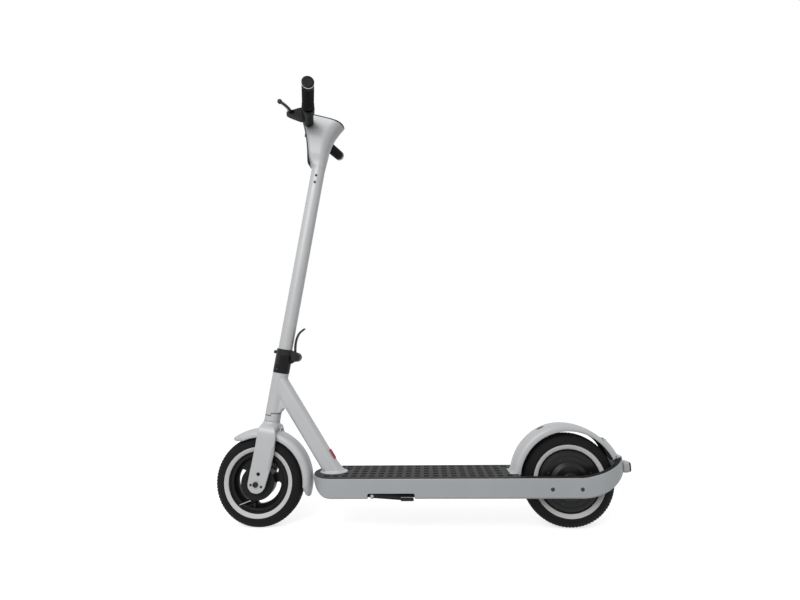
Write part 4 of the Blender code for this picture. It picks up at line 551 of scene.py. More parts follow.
def mat_sheet(name, inset, low, high, margin):
    """A layer of the mat, notched for the two feet with a margin round them."""
    sheet = piece(name, prism(mat_plan(inset), low, high, "XY"))
    half = 0.036 + margin
    notch_start = FOOT_START - 0.0005 - margin
    cut(sheet, block((notch_start, -half, low - 0.01), (WELL_START + 0.01, half, high + 0.01)))
    cut(sheet, prism(oval(0.0405 + margin, 0.0315 + margin), low - 0.01, high + 0.01, "XY"))
    sheet.data.transform(TO_DECK)
    return sheet


mat = mat_sheet("rubber_mat", 0.002, MAT_LOW, MAT_TOP, 0.0)
ease(mat, 0.0007, 2, 40)
dress(mat, "frame", "black_rubber", mat_rubber, "deck_mat")

pad_tree = node_tree("pads_on_mat", [
    ("Pad", "Object"), ("Columns", "Int"), ("Rows", "Int"), ("Pitch Along", "Float"),
    ("Pitch Across", "Float"), ("Centre", "Vector"), ("Finish", "Material")])
given = pad_tree.nodes.new("NodeGroupInput")
shape = add_node(pad_tree, "GeometryNodeObjectInfo", {"Object": given.outputs["Pad"]})
spans = []
for count, pitch in (("Columns", "Pitch Along"), ("Rows", "Pitch Across")):
    gaps = maths(pad_tree, "SUBTRACT", given.outputs[count], 1.0)
    spans.append(maths(pad_tree, "MULTIPLY", gaps, given.outputs[pitch]))
grid = add_node(pad_tree, "GeometryNodeMeshGrid", {
    "Size X": spans[0], "Size Y": spans[1], "Vertices X": given.outputs["Columns"],
    "Vertices Y": given.outputs["Rows"]})
moved = add_node(pad_tree, "GeometryNodeTransform", {"Geometry": grid.outputs["Mesh"],
                 "Translation": given.outputs["Centre"]})
spot = add_node(pad_tree, "GeometryNodeInputPosition")
raised = add_node(pad_tree, "ShaderNodeVectorMath", {0: spot.outputs[0], 1: (0.0, 0.0, 0.02)},
                  operation="ADD")
over = add_node(pad_tree, "GeometryNodeRaycast", {
    "Target Geometry": given.outputs["Geometry"], "Source Position": raised.outputs[0],
    "Ray Direction": (0.0, 0.0, -1.0), "Ray Length": 0.05})
missed = add_node(pad_tree, "FunctionNodeBooleanMath", {0: over.outputs["Is Hit"]}, operation="NOT")
kept = add_node(pad_tree, "GeometryNodeDeleteGeometry", {"Geometry": moved.outputs[0],
                "Selection": missed.outputs[0]}, domain="POINT")
laid = add_node(pad_tree, "GeometryNodeInstanceOnPoints", {"Points": kept.outputs[0],
                "Instance": shape.outputs["Geometry"]})
close_tree(pad_tree, given, laid.outputs["Instances"])


def pad_shape(name, length, width, height, corner):
    """One raised pad: a rounded outline whose walls lean in towards its top."""
    rows = []
    for inset, z in ((0.0, -0.0004), (0.0, 0.0002), (0.0005, height - 0.0002), (0.0009, height)):
        outline = rounded_box(length / 2, width / 2, corner, max(0.0002, corner - inset), 3)
        rows.append([(x, y, z) for x, y in outline])
    return hidden_shape(name, loft(rows))


def lay_pads(name, inset, margin, form, columns, rows, pitch, centre, look):
    """Lay a grid of one raised shape over the mat, between its rim and the two feet."""
    field = mat_sheet(name, inset, MAT_TOP - 0.002, MAT_TOP - 0.001, margin)
    grow(field, pad_tree, pad=form, columns=columns, rows=rows, pitch_along=PAD_PITCH_X, pitch_across=pitch,
         centre=centre, finish=look)
    dress(field, "frame", "black_rubber", look)


lay_pads("mat_pads", 0.011, 0.010, pad_shape("pad_form", 0.0150, 0.0125, 0.0009, 0.003), 25, 5, PAD_PITCH_Y,
         FIELD_MIDDLE, pad_rubber_painted_shade)
lay_pads("mat_pips", 0.005, 0.004, pad_shape("pip_form", 0.0042, 0.0042, 0.0006, 0.0015), 26, 10,
         PAD_PITCH_Y / 2, FIELD_MIDDLE + Vector((PAD_PITCH_X / 2, 0, 0)), mat_rubber)


# Tail trim. A moulded black strip on top of the loop, from the mat back round behind the wheel, with a
# shallow groove along its middle. It is glued on.

trim_rubber = finish("trim_rubber", (0.014, 0.014, 0.0145), 0.62, 0.0, 0.0007, 0.00005, 0.15,
                     worn=(0.04, 0.04, 0.04), edge=0.0005, shine=0.2)
outer_half = DECK_HALF - 0.003
inner_half = WELL_HALF + 0.0005
straight_start = WELL_START - 0.0032
straight = [straight_start + (TAIL_START - straight_start) * i / 40 for i in range(40)]
lanes = [((x, -outer_half), (x, -inner_half)) for x in straight]
for i in range(73):
    angle = -math.pi / 2 + math.pi * i / 72
    outer = (TAIL_START + (TAIL_ROUND - 0.003) * math.cos(angle), outer_half * math.sin(angle))
    inner = (TAIL_START + (TAIL_ROUND - TAIL_WALL + 0.0005) * math.cos(angle), inner_half * math.sin(angle))
    lanes.append((outer, inner))
lanes += [((x, outer_half), (x, inner_half)) for x in straight[::-1]]
TRIM_SECTION = [(0.0, 0.0004), (1.0, 0.0004), (1.0, 0.0024), (0.95, 0.0030), (0.62, 0.0030), (0.57, 0.0022),
                (0.43, 0.0022), (0.38, 0.0030), (0.05, 0.0030), (0.0, 0.0024)]
rings = []
for outer, inner in lanes:
    ring = []
    for share, lift in TRIM_SECTION:
        x, y = (a + (b - a) * share for a, b in zip(outer, inner))
        ring.append((x, y, deck_top(x) + lift))
    rings.append(ring)
dress(piece("tail_trim_strip", loft(rings), TO_DECK), "frame", "black_rubber", trim_rubber, "tail_trim")


# Neck. The head tube and the down tube are welded, ground smooth, filleted and painted as one, and an
# oval foot, flared up into the tube, spreads the load on the deck. It is bolted from below.

STEER = Matrix.Translation((FRONT_X, 0, AXLE_Z)) @ Matrix.Rotation(math.radians(10.0), 4, "Y")
HEAD_LOW = 0.1970
HEAD_TOP = 0.3125
HEAD_RADIUS = 0.023
NOTCH = 0.0075
NOTCH_WALL = -HEAD_RADIUS * math.cos(math.radians(86.5))
LEAN = 0.5595
FACE = 0.0445 / 2
TUBE_HALF = 0.022
PORT_UP = 0.046


def weld(obj, bm, place=None):
    """Join another shape to a piece."""
    cut(obj, bm, place, "UNION")


def slanted(along, across):
    """A point beside the down tube's centre line, counted from the flange up the tube."""
    return (FLANGE_X - along * math.sin(LEAN) + across * math.cos(LEAN),
            DECK_TOP + along * math.cos(LEAN) + across * math.sin(LEAN))


neck = piece("welded_neck", rod(HEAD_RADIUS + 0.0003, HEAD_LOW - 0.030, HEAD_TOP + 0.012, segments=96), STEER)
tube_outline = rounded_box(FACE, TUBE_HALF, 0.012, 0.0123, 8)
join = (0.287 * math.cos(math.radians(10)) + AXLE_Z - DECK_TOP) / math.cos(LEAN)
rings = []
for step in range(13):
    height = -0.004 + (join + 0.004) * step / 12
    rings.append([(slanted(height, a)[0], b, slanted(height, a)[1]) for a, b in tube_outline])
weld(neck, loft(rings), TO_DECK)
wide_foot, narrow_foot = oval(0.040, 0.031), oval(0.0385, 0.0295)
weld(neck, loft([[(x, y, DECK_TOP + lift) for x, y in plan] for plan, lift in (
    (wide_foot, -0.006), (wide_foot, 0.0042), (narrow_foot, 0.0058))]), TO_DECK)
skirt = []
for i in range(13):
    share = i / 12
    spread = (1 - share) ** 2.4
    ring = []
    for a, b in tube_outline:
        x, z = slanted(0.002 + 0.040 * share, a)
        turn = math.atan2(b / 0.027, a / 0.036)
        wide = (FLANGE_X + 0.036 * math.cos(turn), 0.027 * math.sin(turn), DECK_TOP + 0.0050)
        ring.append(tuple(near + (far - near) * spread for near, far in zip((x, b, z), wide)))
    skirt.append(ring)
weld(neck, loft(skirt), TO_DECK)
GUSSET = [(0.0180, 0.1990), (0.0236, 0.2010), (0.0258, 0.2100), (0.0315, 0.2145), (0.0420, 0.2140),
          (0.0495, 0.2085), (0.0575, 0.1990), (0.0600, 0.2100), (0.0450, 0.2400), (0.0180, 0.2400)]
weld(neck, prism(GUSSET, -0.0198, 0.0198), STEER)
soften(neck, 0.0011, 14)
cut(neck, block((-0.2, -0.1, -0.1), (0.4, 0.1, DECK_TOP + 0.0003)), TO_DECK)
cut(neck, block((-0.1, -0.1, HEAD_TOP), (0.1, 0.1, HEAD_TOP + 0.1)), STEER)
cut(neck, block((-0.06, -0.06, HEAD_LOW - 0.08), (0.0265, 0.06, HEAD_LOW - NOTCH)), STEER)
cut(neck, block((NOTCH_WALL, -0.06, HEAD_LOW - 0.06), (0.0265, 0.06, HEAD_LOW)), STEER)
cut(neck, rod(0.019, HEAD_LOW - 0.05, HEAD_TOP + 0.05, segments=72), STEER)
port_x, port_z = slanted(PORT_UP, FACE)
PORT = TO_DECK @ Matrix.Translation((port_x, 0, port_z)) @ Matrix.Rotation(-LEAN, 4, "Y")
cut(neck, rod(0.0088, -0.0133, 0.01, "X"), PORT)
dress(neck, "frame", "grey_paint", paint, "neck_frame")


# Charging port and its flap. The socket is a black plastic barrel with three pins, let into the down
# tube's back. The flap is soft red rubber with a ribbed pull edge, and it hinges at its upper end.

black_plastic = finish("black_moulded_plastic", (0.0065, 0.0065, 0.0070), 0.46, 0.0, 0.0008, 0.00004, 0.10,
                       worn=(0.022, 0.022, 0.022), edge=0.0007, shine=0.15)
steel = finish("bright_steel", (0.56, 0.56, 0.55), 0.27, 1.0, 0.0006, 0.000006, 0.08,
               worn=(0.75, 0.75, 0.74), edge=0.0005)
cap_rubber = finish("red_flap_rubber", (0.42, 0.045, 0.055), 0.62, 0.0, 0.0008, 0.00005, 0.10,
                    worn=(0.50, 0.16, 0.16), edge=0.0006)

barrel = turned([(0.0, -0.0130), (0.0085, -0.0130), (0.0085, -0.0004), (0.0081, 0.0), (0.0069, 0.0),
                 (0.0065, -0.0005), (0.0065, -0.0090), (0.0, -0.0090)], 64, "X")
socket = piece("charging_socket", barrel, PORT)
for y, z in ((0.0028, 0.0), (-0.0014, 0.0024), (-0.0014, -0.0024)):
    weld(socket, rod(0.0009, -0.0100, -0.0045, "X", (0, y, z), 16), PORT)
dress(socket, "frame", "black_plastic", black_plastic, "charge_port")

flap = copy_of("charge_cap", "charging_flap", 0.0010, 3)
hinge_x, hinge_z = slanted(PORT_UP + 0.0145, FACE + 0.0003 + 0.0016)
FLAP = TO_DECK @ Matrix.Translation((hinge_x, 0, hinge_z)) @ Matrix.Rotation(-LEAN, 4, "Y")
for i in range(3):
    z = -0.0235 + 0.0016 * i
    cut(flap, block((0.0011, -0.0060, z - 0.0004), (0.01, 0.0060, z + 0.0004)), FLAP)
dress(flap, "charge_cap", "red_rubber", cap_rubber, "charge_cap")


# Headset. Ball bearings pressed into the head tube, and a stepped collar under it whose shoulder meets a
# notch in the tube, so that the bar can't swing round too far. A dark sheet fills the gap between them as
# painted shade.

COLLAR_TOP = 0.1948
COLLAR_STEP = HEAD_LOW - NOTCH - 0.0022
COLLAR_WALL = NOTCH_WALL + 0.0012
SHADE_GAP = 0.0001


def clip(obj, bm, place=None):
    """Keep only what a piece and another shape share."""
    cut(obj, bm, place, "INTERSECT")


collar = piece("stepped_collar", turned([(0.0148, 0.1724), (0.0223, 0.1724), (0.0230, 0.1731),
                                         (0.0230, COLLAR_TOP), (0.0148, COLLAR_TOP)]), STEER)
cut(collar, block((-0.06, -0.06, COLLAR_STEP), (COLLAR_WALL, 0.06, COLLAR_STEP + 0.06)), STEER)
ease(collar, 0.0004, 2, 40)
dress(collar, "frame", "grey_paint", paint, "headset_collar")
# A black sheet in the notch's gap, standing in for the shade there: painted shade.
gap_shade = piece("headset_seal", turned([(0.0160, HEAD_LOW - 0.02), (0.0224, HEAD_LOW - 0.02), (0.0224, HEAD_LOW),
                                     (0.0160, HEAD_LOW)]))
step_low, step_high = COLLAR_STEP + SHADE_GAP, COLLAR_TOP + SHADE_GAP
notch_low, notch_high = HEAD_LOW - NOTCH - SHADE_GAP, HEAD_LOW - SHADE_GAP
lower_wall, upper_wall = COLLAR_WALL - SHADE_GAP, NOTCH_WALL + SHADE_GAP
clip(gap_shade, prism([(-0.03, step_low), (lower_wall, step_low), (lower_wall, step_high), (0.03, step_high),
                  (0.03, notch_high), (upper_wall, notch_high), (upper_wall, notch_low), (-0.03, notch_low)],
                 -0.03, 0.03))
dress(gap_shade, "frame", "black_rubber", trim_rubber, place=STEER)
for node, start in (("bearing_lower", 0.1985), ("bearing_upper", 0.3035)):
    lower = [(0.0148, 0.0), (0.0165, 0.0), (0.0168, 0.0010), (0.0172, 0.0), (0.0187, 0.0)]
    race = [(r, start + z) for r, z in lower] + [(r, start + 0.008 - z) for r, z in lower[::-1]]
    dress(piece(f"{node}_race", turned(race), STEER), "frame", "steel", steel, node)


# Fork. Crown and legs are one aluminium casting, smoothed and painted, with the steerer pressed into it.
# Each leg has a plugged hole above the axle and two small screws beside it.

CROWN_LOW = 0.1493
CROWN_TOP = 0.1720
SHOULDER = 0.100
SHOULDER_RISE = 0.0675
SHOULDER_BACK = 0.0338
SHOULDER_FRONT = 0.0218
LEG_INSIDE = 0.0365
LEG_OUTSIDE = 0.0465
LEG_ROUND = 0.0506 / 2
LEG_SHIFT = 0.0018
PLUG = (0.0020, 0.0287)
LEG_SCREWS = [(-0.0138, -0.0035), (0.0166, -0.0035)]


def leg_back(share):
    """The leg's rear edge, at a share of the way from its round end up to the shoulder."""
    low = LEG_ROUND + LEG_SHIFT
    return low + (SHOULDER_BACK - low) * (2 * share - share * share)


def leg_front(share):
    """The leg's front edge."""
    low = LEG_ROUND - LEG_SHIFT
    return -low + (low - SHOULDER_FRONT) * share ** 1.6


rise = CROWN_TOP - SHOULDER
right = [(LEG_OUTSIDE, -2 * LEG_ROUND)]
for i in range(25):
    share = i / 24
    reach = min(1.0, share * rise / SHOULDER_RISE)
    width = HEAD_RADIUS + (LEG_OUTSIDE - HEAD_RADIUS) * (1 - reach ** 7) ** 1.1
    right.append((width, SHOULDER + rise * share))
inner = [(LEG_INSIDE, -2 * LEG_ROUND)]
inner += arc((LEG_INSIDE - 0.0105, CROWN_LOW - 0.0315), 0.0105, 0, math.pi / 2, 16, 3.0)
front_view = right + [(-a, b) for a, b in right[::-1]] + [(-a, b) for a, b in inner] + inner[::-1]
steps = [i / 12 for i in range(1, 13)]
side_view = arc((LEG_SHIFT, 0), LEG_ROUND, math.pi, math.tau, 40)
side_view += [(leg_back(a), SHOULDER * a) for a in steps]
side_view += [(0.0310, 0.136), (0.0262, 0.1480), (0.0238, 0.1560), (HEAD_RADIUS, 0.1620),
              (HEAD_RADIUS, CROWN_TOP + 0.01), (-HEAD_RADIUS, CROWN_TOP + 0.01),
              (-HEAD_RADIUS, CROWN_TOP - 0.008), (-0.0226, SHOULDER + 0.55 * rise)]
side_view += [(leg_front(a), SHOULDER * a) for a in steps[::-1]]
fork = piece("painted_fork", prism(front_view, -0.05, 0.05, "YZ"))
clip(fork, prism(side_view, -0.08, 0.08))
DOME = [(0, -0.08), (0.08, -0.08), (0.08, 0.128), (0.062, 0.1460), (0.0480, 0.1555), (0.0370, 0.1605),
        (0.0290, 0.1635), (0.0243, 0.1670), (0.0236, 0.1725), (0, 0.1725)]
clip(fork, turned(DOME, 72))
weld(fork, rod(HEAD_RADIUS + 0.0002, CROWN_LOW + 0.004, CROWN_TOP + 0.006, segments=96))
for side in (-1, 1):
    rings = []
    for height, depth in ((0.030, 0.0), (0.045, 1.0), (0.075, 1.0), (SHOULDER + 0.004, 1.0),
                          (SHOULDER + 0.016, 0.2)):
        edge_n = leg_back(min(1.0, height / SHOULDER))
        face_y = side * (LEG_OUTSIDE + 0.0012)
        rings.append([(edge_n - 0.0085 * depth, face_y, height), (edge_n + 0.0100, face_y, height),
                      (edge_n + 0.0100, side * (LEG_OUTSIDE - 0.0130 * depth), height)])
    cut(fork, loft(rings))
soften(fork, 0.0011, 8)
cut(fork, block((-0.1, -0.1, CROWN_TOP), (0.1, 0.1, 0.3)))
weld(fork, rod(0.0145, CROWN_LOW + 0.005, 0.3350, segments=64))
cut(fork, rod(0.0115, HEAD_LOW, 0.35, segments=48))
cut(fork, rod(0.0063, -0.08, 0.08, "Y", segments=40))
for low, high in both_sides(LEG_OUTSIDE - 0.0014, LEG_OUTSIDE + 0.01):
    cut(fork, rod(0.0054, low, high, "Y", (PLUG[0], 0, PLUG[1]), 40))
shade(fork, 40)
dress(fork, "fork", "grey_paint", paint, "fork", place=STEER)
leg_points = on_both_sides([(n, LEG_OUTSIDE - 0.0003, s) for n, s in LEG_SCREWS])
screws("fork_leg_screws", "fork", leg_points, 0.0038, STEER)
for label, side in (("left", -1), ("right", 1)):
    face = LEG_OUTSIDE - 0.0012
    dish = [(0.0, face - 0.004), (0.0050, face - 0.004), (0.0050, face + 0.0003), (0.0044, face + 0.0008),
            (0.0028, face + 0.0002), (0.0, face - 0.0002)]
    plug = turned([(r, side * y) for r, y in dish], 40, "Y", (PLUG[0], 0, PLUG[1]))
    dress(piece(f"leg_plug_{label}", plug, STEER), "fork", "black_plastic", black_plastic)


# Front fender. An injection moulded arch painted like the frame, screwed under the crown by the lug
# behind it.

def bulge(value, power):
    """A sine or cosine raised to a power with its sign kept, which squares a circle off."""
    return math.copysign(abs(value) ** power, value)


def channel(crest, sag, half_width, power):
    """Half of a fender's section: (sideways, radius) points from one edge over the crest to the other."""
    points = []
    for i in range(29):
        angle = math.pi * (1 - i / 28)
        across = half_width * bulge(math.cos(angle), 2 / power)
        points.append((across, crest - sag + sag * bulge(math.sin(angle), 2 / power)))
    return points


def fender_ring(angle, crest, sag, half_width, power, wall=0.0025):
    """One closed section of a fender, standing on the wheel's radius at an angle."""
    outside = channel(crest, sag, half_width, power)
    inside = channel(crest - wall, sag, half_width - wall * 0.8, power)
    return [(r * math.cos(angle), across, r * math.sin(angle)) for across, r in outside + inside[::-1]]


rings = []
for i in range(73):
    share = 0.5 * (0.5 - 0.5 * math.cos(math.pi * i / 72)) + 0.5 * i / 72
    angle = math.radians(-6 + 140 * share)
    taper = 0.50 + 0.50 * math.sqrt(min(1.0, min(share, 1 - share) / 0.08))
    ring = fender_ring(angle, 0.149, 0.0205 * taper * taper, 0.0305 * taper, 2.6)
    rings.append([(x + 0.003, y, z) for x, y, z in ring])
fender = piece("front_wheel_guard", loft(rings))
weld(fender, block((0.0288, -0.008, 0.1437), (0.0328, 0.008, 0.1567)))
shade(fender, 40)
dress(fender, "fork", "grey_paint", paint, "front_fender", place=STEER)
screws("front_guard_screw", "fork", [((0.0328, 0, 0.1515), (1, 0, 0))], 0.0032, STEER)


# Front axle. A black through bolt with a low head on each side, and a six sided socket in each head.

head_face = LEG_OUTSIDE + 0.0003
half_bolt = [(0.0, 0.0), (0.0060, 0.0)]
half_bolt += [(r, head_face + y) for r, y in (
    (0.0060, 0.0), (0.0075, 0.0), (0.0075, 0.0036), (0.0068, 0.0045), (0.0045, 0.0045), (0.0041, 0.0020),
    (0.0, 0.0020))]
bolt = turned([(r, -y) for r, y in half_bolt[::-1]][:-1] + half_bolt[1:], 64, "Y")
dress(piece("front_axle_bolt", bolt, STEER), "fork", "black_paint", black_paint, "front_axle")
screws("axle_sockets", "fork", on_both_sides([(0, head_face + 0.0016, 0)]), 0.0039, STEER)


# Tyres. Ten inch pneumatic tyres of black rubber with a pale ring moulded on each side wall. Every
# pitch of the tread has two slanted centre blocks and two shoulder blocks, laid round by a node tree.

TYRE_BASE = 0.097
TYRE_RISE = 0.0299
TYRE_HALF = 0.027
TREAD = 0.0013
TREAD_COUNT = 84
PITCH = math.tau / TREAD_COUNT
SQUARE = 2.6
FRONT = Vector((FRONT_X, 0, AXLE_Z))
REAR = Vector((0.4135, 0, AXLE_Z))
AT_REAR = Matrix.Translation(REAR)


def crown(across):
    """The tyre's full radius at a distance beside its middle."""
    share = min(1.0, abs(across) / TYRE_HALF)
    return TYRE_BASE + min(TYRE_RISE, (TYRE_RISE + 0.0012) * (1 - share ** SQUARE) ** (1 / SQUARE))


def tyre_profile():
    """The carcass: beads, side walls with their raised ring, and the ground between the blocks."""
    side = [(0.0820, 0.0214), (0.0835, 0.0222), (0.0858, 0.0231), (0.0866, 0.0233), (0.0870, 0.0238),
            (0.0900, 0.0249), (0.0940, 0.0262), (0.0972, 0.0272), (0.0982, 0.0272), (0.0986, 0.0268)]
    tread = []
    for i in range(3, 58):
        angle = math.pi * (1 - i / 60)
        across = TYRE_HALF * bulge(math.cos(angle), 2 / SQUARE)
        radius = TYRE_BASE + min(TYRE_RISE, (TYRE_RISE + 0.0012) * bulge(math.sin(angle), 2 / SQUARE))
        drop = TREAD * min(1.0, max(0.0, (0.0246 - abs(across)) / 0.0008))
        if radius > 0.0990:
            tread.append((radius - drop, across))
    return [(r, -a) for r, a in side] + tread + side[::-1]


def tread_block(bm, start, near, far, slant, width):
    """Add one block of the tread on the tyre's crown, from one distance beside the middle to another."""
    rings = []
    for i in range(5):
        across = near + (far - near) * i / 4
        ring = []
        for edge, raised in ((-0.5, False), (-0.42, True), (0.42, True), (0.5, False)):
            angle = start + slant * i / 4 + width * edge
            drop = (0.0002 if i in (0, 4) else 0.0) if raised else TREAD + 0.0006
            radius = crown(across) - drop
            ring.append((radius * math.cos(angle), across, radius * math.sin(angle)))
        rings.append(ring)
    loft(rings, bm)


tread_tree = node_tree("tread_round_the_tyre", [("Count", "Int"), ("Centre", "Vector"),
                                                ("Finish", "Material")])
given = tread_tree.nodes.new("NodeGroupInput")
seats = add_node(tread_tree, "GeometryNodeMeshLine", {"Count": given.outputs["Count"],
                 "Offset": (0.0, 0.0, 0.0)})
number = add_node(tread_tree, "GeometryNodeInputIndex")
step = maths(tread_tree, "DIVIDE", math.tau, given.outputs["Count"])
angle = maths(tread_tree, "MULTIPLY", number.outputs[0], step)
spin = add_node(tread_tree, "ShaderNodeCombineXYZ", {"Y": angle})
blocks = add_node(tread_tree, "GeometryNodeInstanceOnPoints", {"Points": seats.outputs[0],
                  "Instance": given.outputs["Geometry"], "Rotation": spin.outputs[0]})
moved = add_node(tread_tree, "GeometryNodeTransform", {"Geometry": blocks.outputs[0],
                 "Translation": given.outputs["Centre"]})
close_tree(tread_tree, given, moved.outputs[0])


def ringed(look, centre, inner, outer, colour):
    """Lay a ring of another colour on a wheel's finish, between two radii about its axle."""
    tree = look.node_tree
    shader = tree.nodes["Principled BSDF"]
    tint = shader.inputs["Base Color"].links[0].from_socket
    spot = tree.nodes.new("ShaderNodeTexCoord").outputs["Object"]
    centred = add_node(tree, "ShaderNodeVectorMath", {0: spot, 1: tuple(centre)}, operation="SUBTRACT")
    flat = add_node(tree, "ShaderNodeVectorMath", {0: centred.outputs[0], 1: (1.0, 0.0, 1.0)},
                    operation="MULTIPLY")
    radius = add_node(tree, "ShaderNodeVectorMath", {0: flat.outputs[0]}, operation="LENGTH").outputs["Value"]
    share = maths(tree, "MULTIPLY", remap(tree, radius, inner, inner + 0.0003),
                  remap(tree, radius, outer + 0.0003, outer))
    tree.links.new(mixed(tree, share, tint, colour), shader.inputs["Base Color"])


# Each block's place in the pitch, its two ends beside the middle, its slant and its width.
BLOCKS = [(0.00, 0.0012, 0.0100, 0.30, 0.62), (0.50, -0.0012, -0.0100, 0.30, 0.62),
          (0.25, 0.0122, 0.0242, -0.45, 0.66), (0.75, -0.0122, -0.0242, -0.45, 0.66)]
PALE_RING = (0.0866, 0.0983, (0.76, 0.76, 0.75))
for label, body, centre in (("front", "front_wheel", FRONT), ("rear", "rear_wheel", REAR)):
    rubber = finish(f"{label}_tyre_rubber", (0.0080, 0.0081, 0.0083), 0.68, 0.0, 0.0009, 0.00008, 0.22,
                    worn=(0.030, 0.029, 0.028), edge=0.0010, shine=0.15)
    ringed(rubber, centre, *PALE_RING)
    tyre = piece(f"{label}_tyre_carcass", turned(tyre_profile(), 160, "Y", centre))
    dress(tyre, body, "tyre_rubber", rubber, f"{label}_tyre")
    pitch = bmesh.new()
    for offset, near, far, slant, width in BLOCKS:
        tread_block(pitch, offset * PITCH, near, far, slant * PITCH, width * PITCH)
    tread = piece(f"{label}_tyre_tread", pitch)
    grow(tread, tread_tree, count=TREAD_COUNT, centre=centre, finish=rubber)
    dress(tread, body, "tyre_rubber", rubber)


# Front rim. Cast aluminium with three curved slots, painted black, turned out for the brake drum on its
# right. A plastic cap covers the hub on its left, and the bent valve leans out between two slots.

rim_black = finish("black_rim_paint", (0.008, 0.008, 0.0085), 0.40, 0.0, 0.0012, 0.00002, 0.15,
                   worn=(0.05, 0.05, 0.05), edge=0.0010, shine=0.16)
RIM_PROFILE = [
    (0.0065, -0.0300), (0.0352, -0.0300), (0.0360, -0.0308), (0.0465, -0.0312), (0.0480, -0.0304),
    (0.0483, -0.0270), (0.0476, -0.0090), (0.0650, -0.0090), (0.0664, -0.0078), (0.0702, -0.0076),
    (0.0712, -0.0092), (0.0717, -0.0180), (0.0735, -0.0200), (0.0760, -0.0205), (0.0800, -0.0205),
    (0.0817, -0.0197), (0.0817, 0.0197), (0.0800, 0.0205), (0.0710, 0.0205), (0.0702, 0.0196),
    (0.0710, -0.0020), (0.0400, -0.0010), (0.0385, 0.0010), (0.0385, 0.0272), (0.0377, 0.0280),
    (0.0335, 0.0280), (0.0335, 0.0040), (0.0150, 0.0040), (0.0150, 0.0240), (0.0065, 0.0240),
]
SLOT_MIDDLE = 0.0550
SLOT_END = 0.0075
VALVE_FOOT = FRONT + Vector((-0.0535, -0.0228, -0.0620))
VALVE_TIP = FRONT + Vector((-0.0180, -0.0335, -0.0470))


def slot_end(angle, start):
    """The round end of a rim slot at an angle about the hub, between the two long sides."""
    middle = (SLOT_MIDDLE * math.cos(angle), SLOT_MIDDLE * math.sin(angle))
    return arc(middle, SLOT_END, start, start + math.pi, 14)[1:-1]


rim = piece("front_rim_casting", turned(RIM_PROFILE, 144, "Y"))
for i in range(3):
    phase = math.radians(81.5 + 120 * i)
    reach = math.radians(46) - SLOT_END / SLOT_MIDDLE
    slot = arc((0, 0), SLOT_MIDDLE + SLOT_END, phase - reach, phase + reach, 36)
    slot += slot_end(phase + reach, phase + reach)
    slot += arc((0, 0), SLOT_MIDDLE - SLOT_END, phase + reach, phase - reach, 36)
    slot += slot_end(phase - reach, phase - reach - math.pi)
    cut(rim, prism(slot, -0.03, 0.02))
ease(rim, 0.0007, 2, 60)
dress(rim, "front_wheel", "black_paint", rim_black, "front_rim", place=STEER)
cap_profile = [(0.0065, -0.0335), (0.0120, -0.0335), (0.0130, -0.0328), (0.0290, -0.0328), (0.0310, -0.0335),
               (0.0328, -0.0332), (0.0340, -0.0318), (0.0340, -0.0303), (0.0065, -0.0303)]
cap = piece("hub_cap", turned(cap_profile, 96, "Y"), STEER)
dress(cap, "front_wheel", "black_plastic", black_plastic, "hub_cover")
valve_foot = copy_of("front_valve", "front_valve_foot", 0.0003)
dress(valve_foot, "front_wheel", "black_rubber", trim_rubber, "front_valve")
valve_way = VALVE_TIP - VALVE_FOOT
length = valve_way.length
valve = turned([(0, 0), (0.0011, 0), (0.0011, length - 0.0060), (0.0014, length - 0.0056),
                (0.0014, length - 0.0004), (0.0010, length), (0, length)], 24)
valve_place = Matrix.Translation(VALVE_FOOT) @ valve_way.to_track_quat("Z", "Y").to_matrix().to_4x4()
dress(piece("front_valve_stem", valve, valve_place), "front_wheel", "steel", steel)


# Drum brake. A cast plate closes the drum on the right. Two lined shoes stand on it, spread by a cam
# that the steel arm turns.

cast_metal = finish("raw_cast_metal", (0.30, 0.30, 0.29), 0.55, 0.9, 0.0010, 0.00005, 0.18,
                    worn=(0.5, 0.5, 0.49), edge=0.0006)
for node, look in (("brake_plate", rim_black), ("brake_shoe_upper", cast_metal),
                   ("brake_shoe_lower", cast_metal)):
    dress(copy_of(node, f"{node}_casting", 0.0005), "fork", "cast_metal", look, node)
dress(copy_of("brake_arm", "brake_arm_pressing", 0.0004), "brake_arm", "steel", steel, "brake_arm")


# Rear wheel. The hub motor's rim carries the tyre, and two turned covers close it, each held by eight
# screws. The copper wound stator inside is fixed to the axle.

motor_black = finish("black_motor_paint", (0.009, 0.009, 0.0095), 0.34, 0.0, 0.0011, 0.00003, 0.15,
                     worn=(0.06, 0.06, 0.06), edge=0.0012, shine=0.25)
rear_rim = [(0.0682, -0.0245), (0.0800, -0.0245), (0.0817, -0.0236), (0.0817, 0.0236), (0.0800, 0.0245),
            (0.0682, 0.0245)]
rim_ring = piece("motor_rim_ring", turned(rear_rim, 144, "Y", REAR))
dress(rim_ring, "rear_wheel", "black_paint", motor_black, "motor_rim")
COVER_FACE = 0.0248
COVER_PROFILE = [
    (0.0064, 0.0), (0.0794, 0.0), (0.0802, 0.0008), (0.0796, 0.0038), (0.0784, 0.0045), (0.0700, 0.0047),
    (0.0692, 0.0039), (0.0676, 0.0039), (0.0668, 0.0049), (0.0545, 0.0050), (0.0525, 0.0044),
    (0.0512, 0.0052), (0.0434, 0.0108), (0.0424, 0.0112), (0.0408, 0.0112), (0.0398, 0.0088),
    (0.0250, 0.0090), (0.0226, 0.0128), (0.0212, 0.0135), (0.0120, 0.0135), (0.0112, 0.0128),
    (0.0064, 0.0128),
]
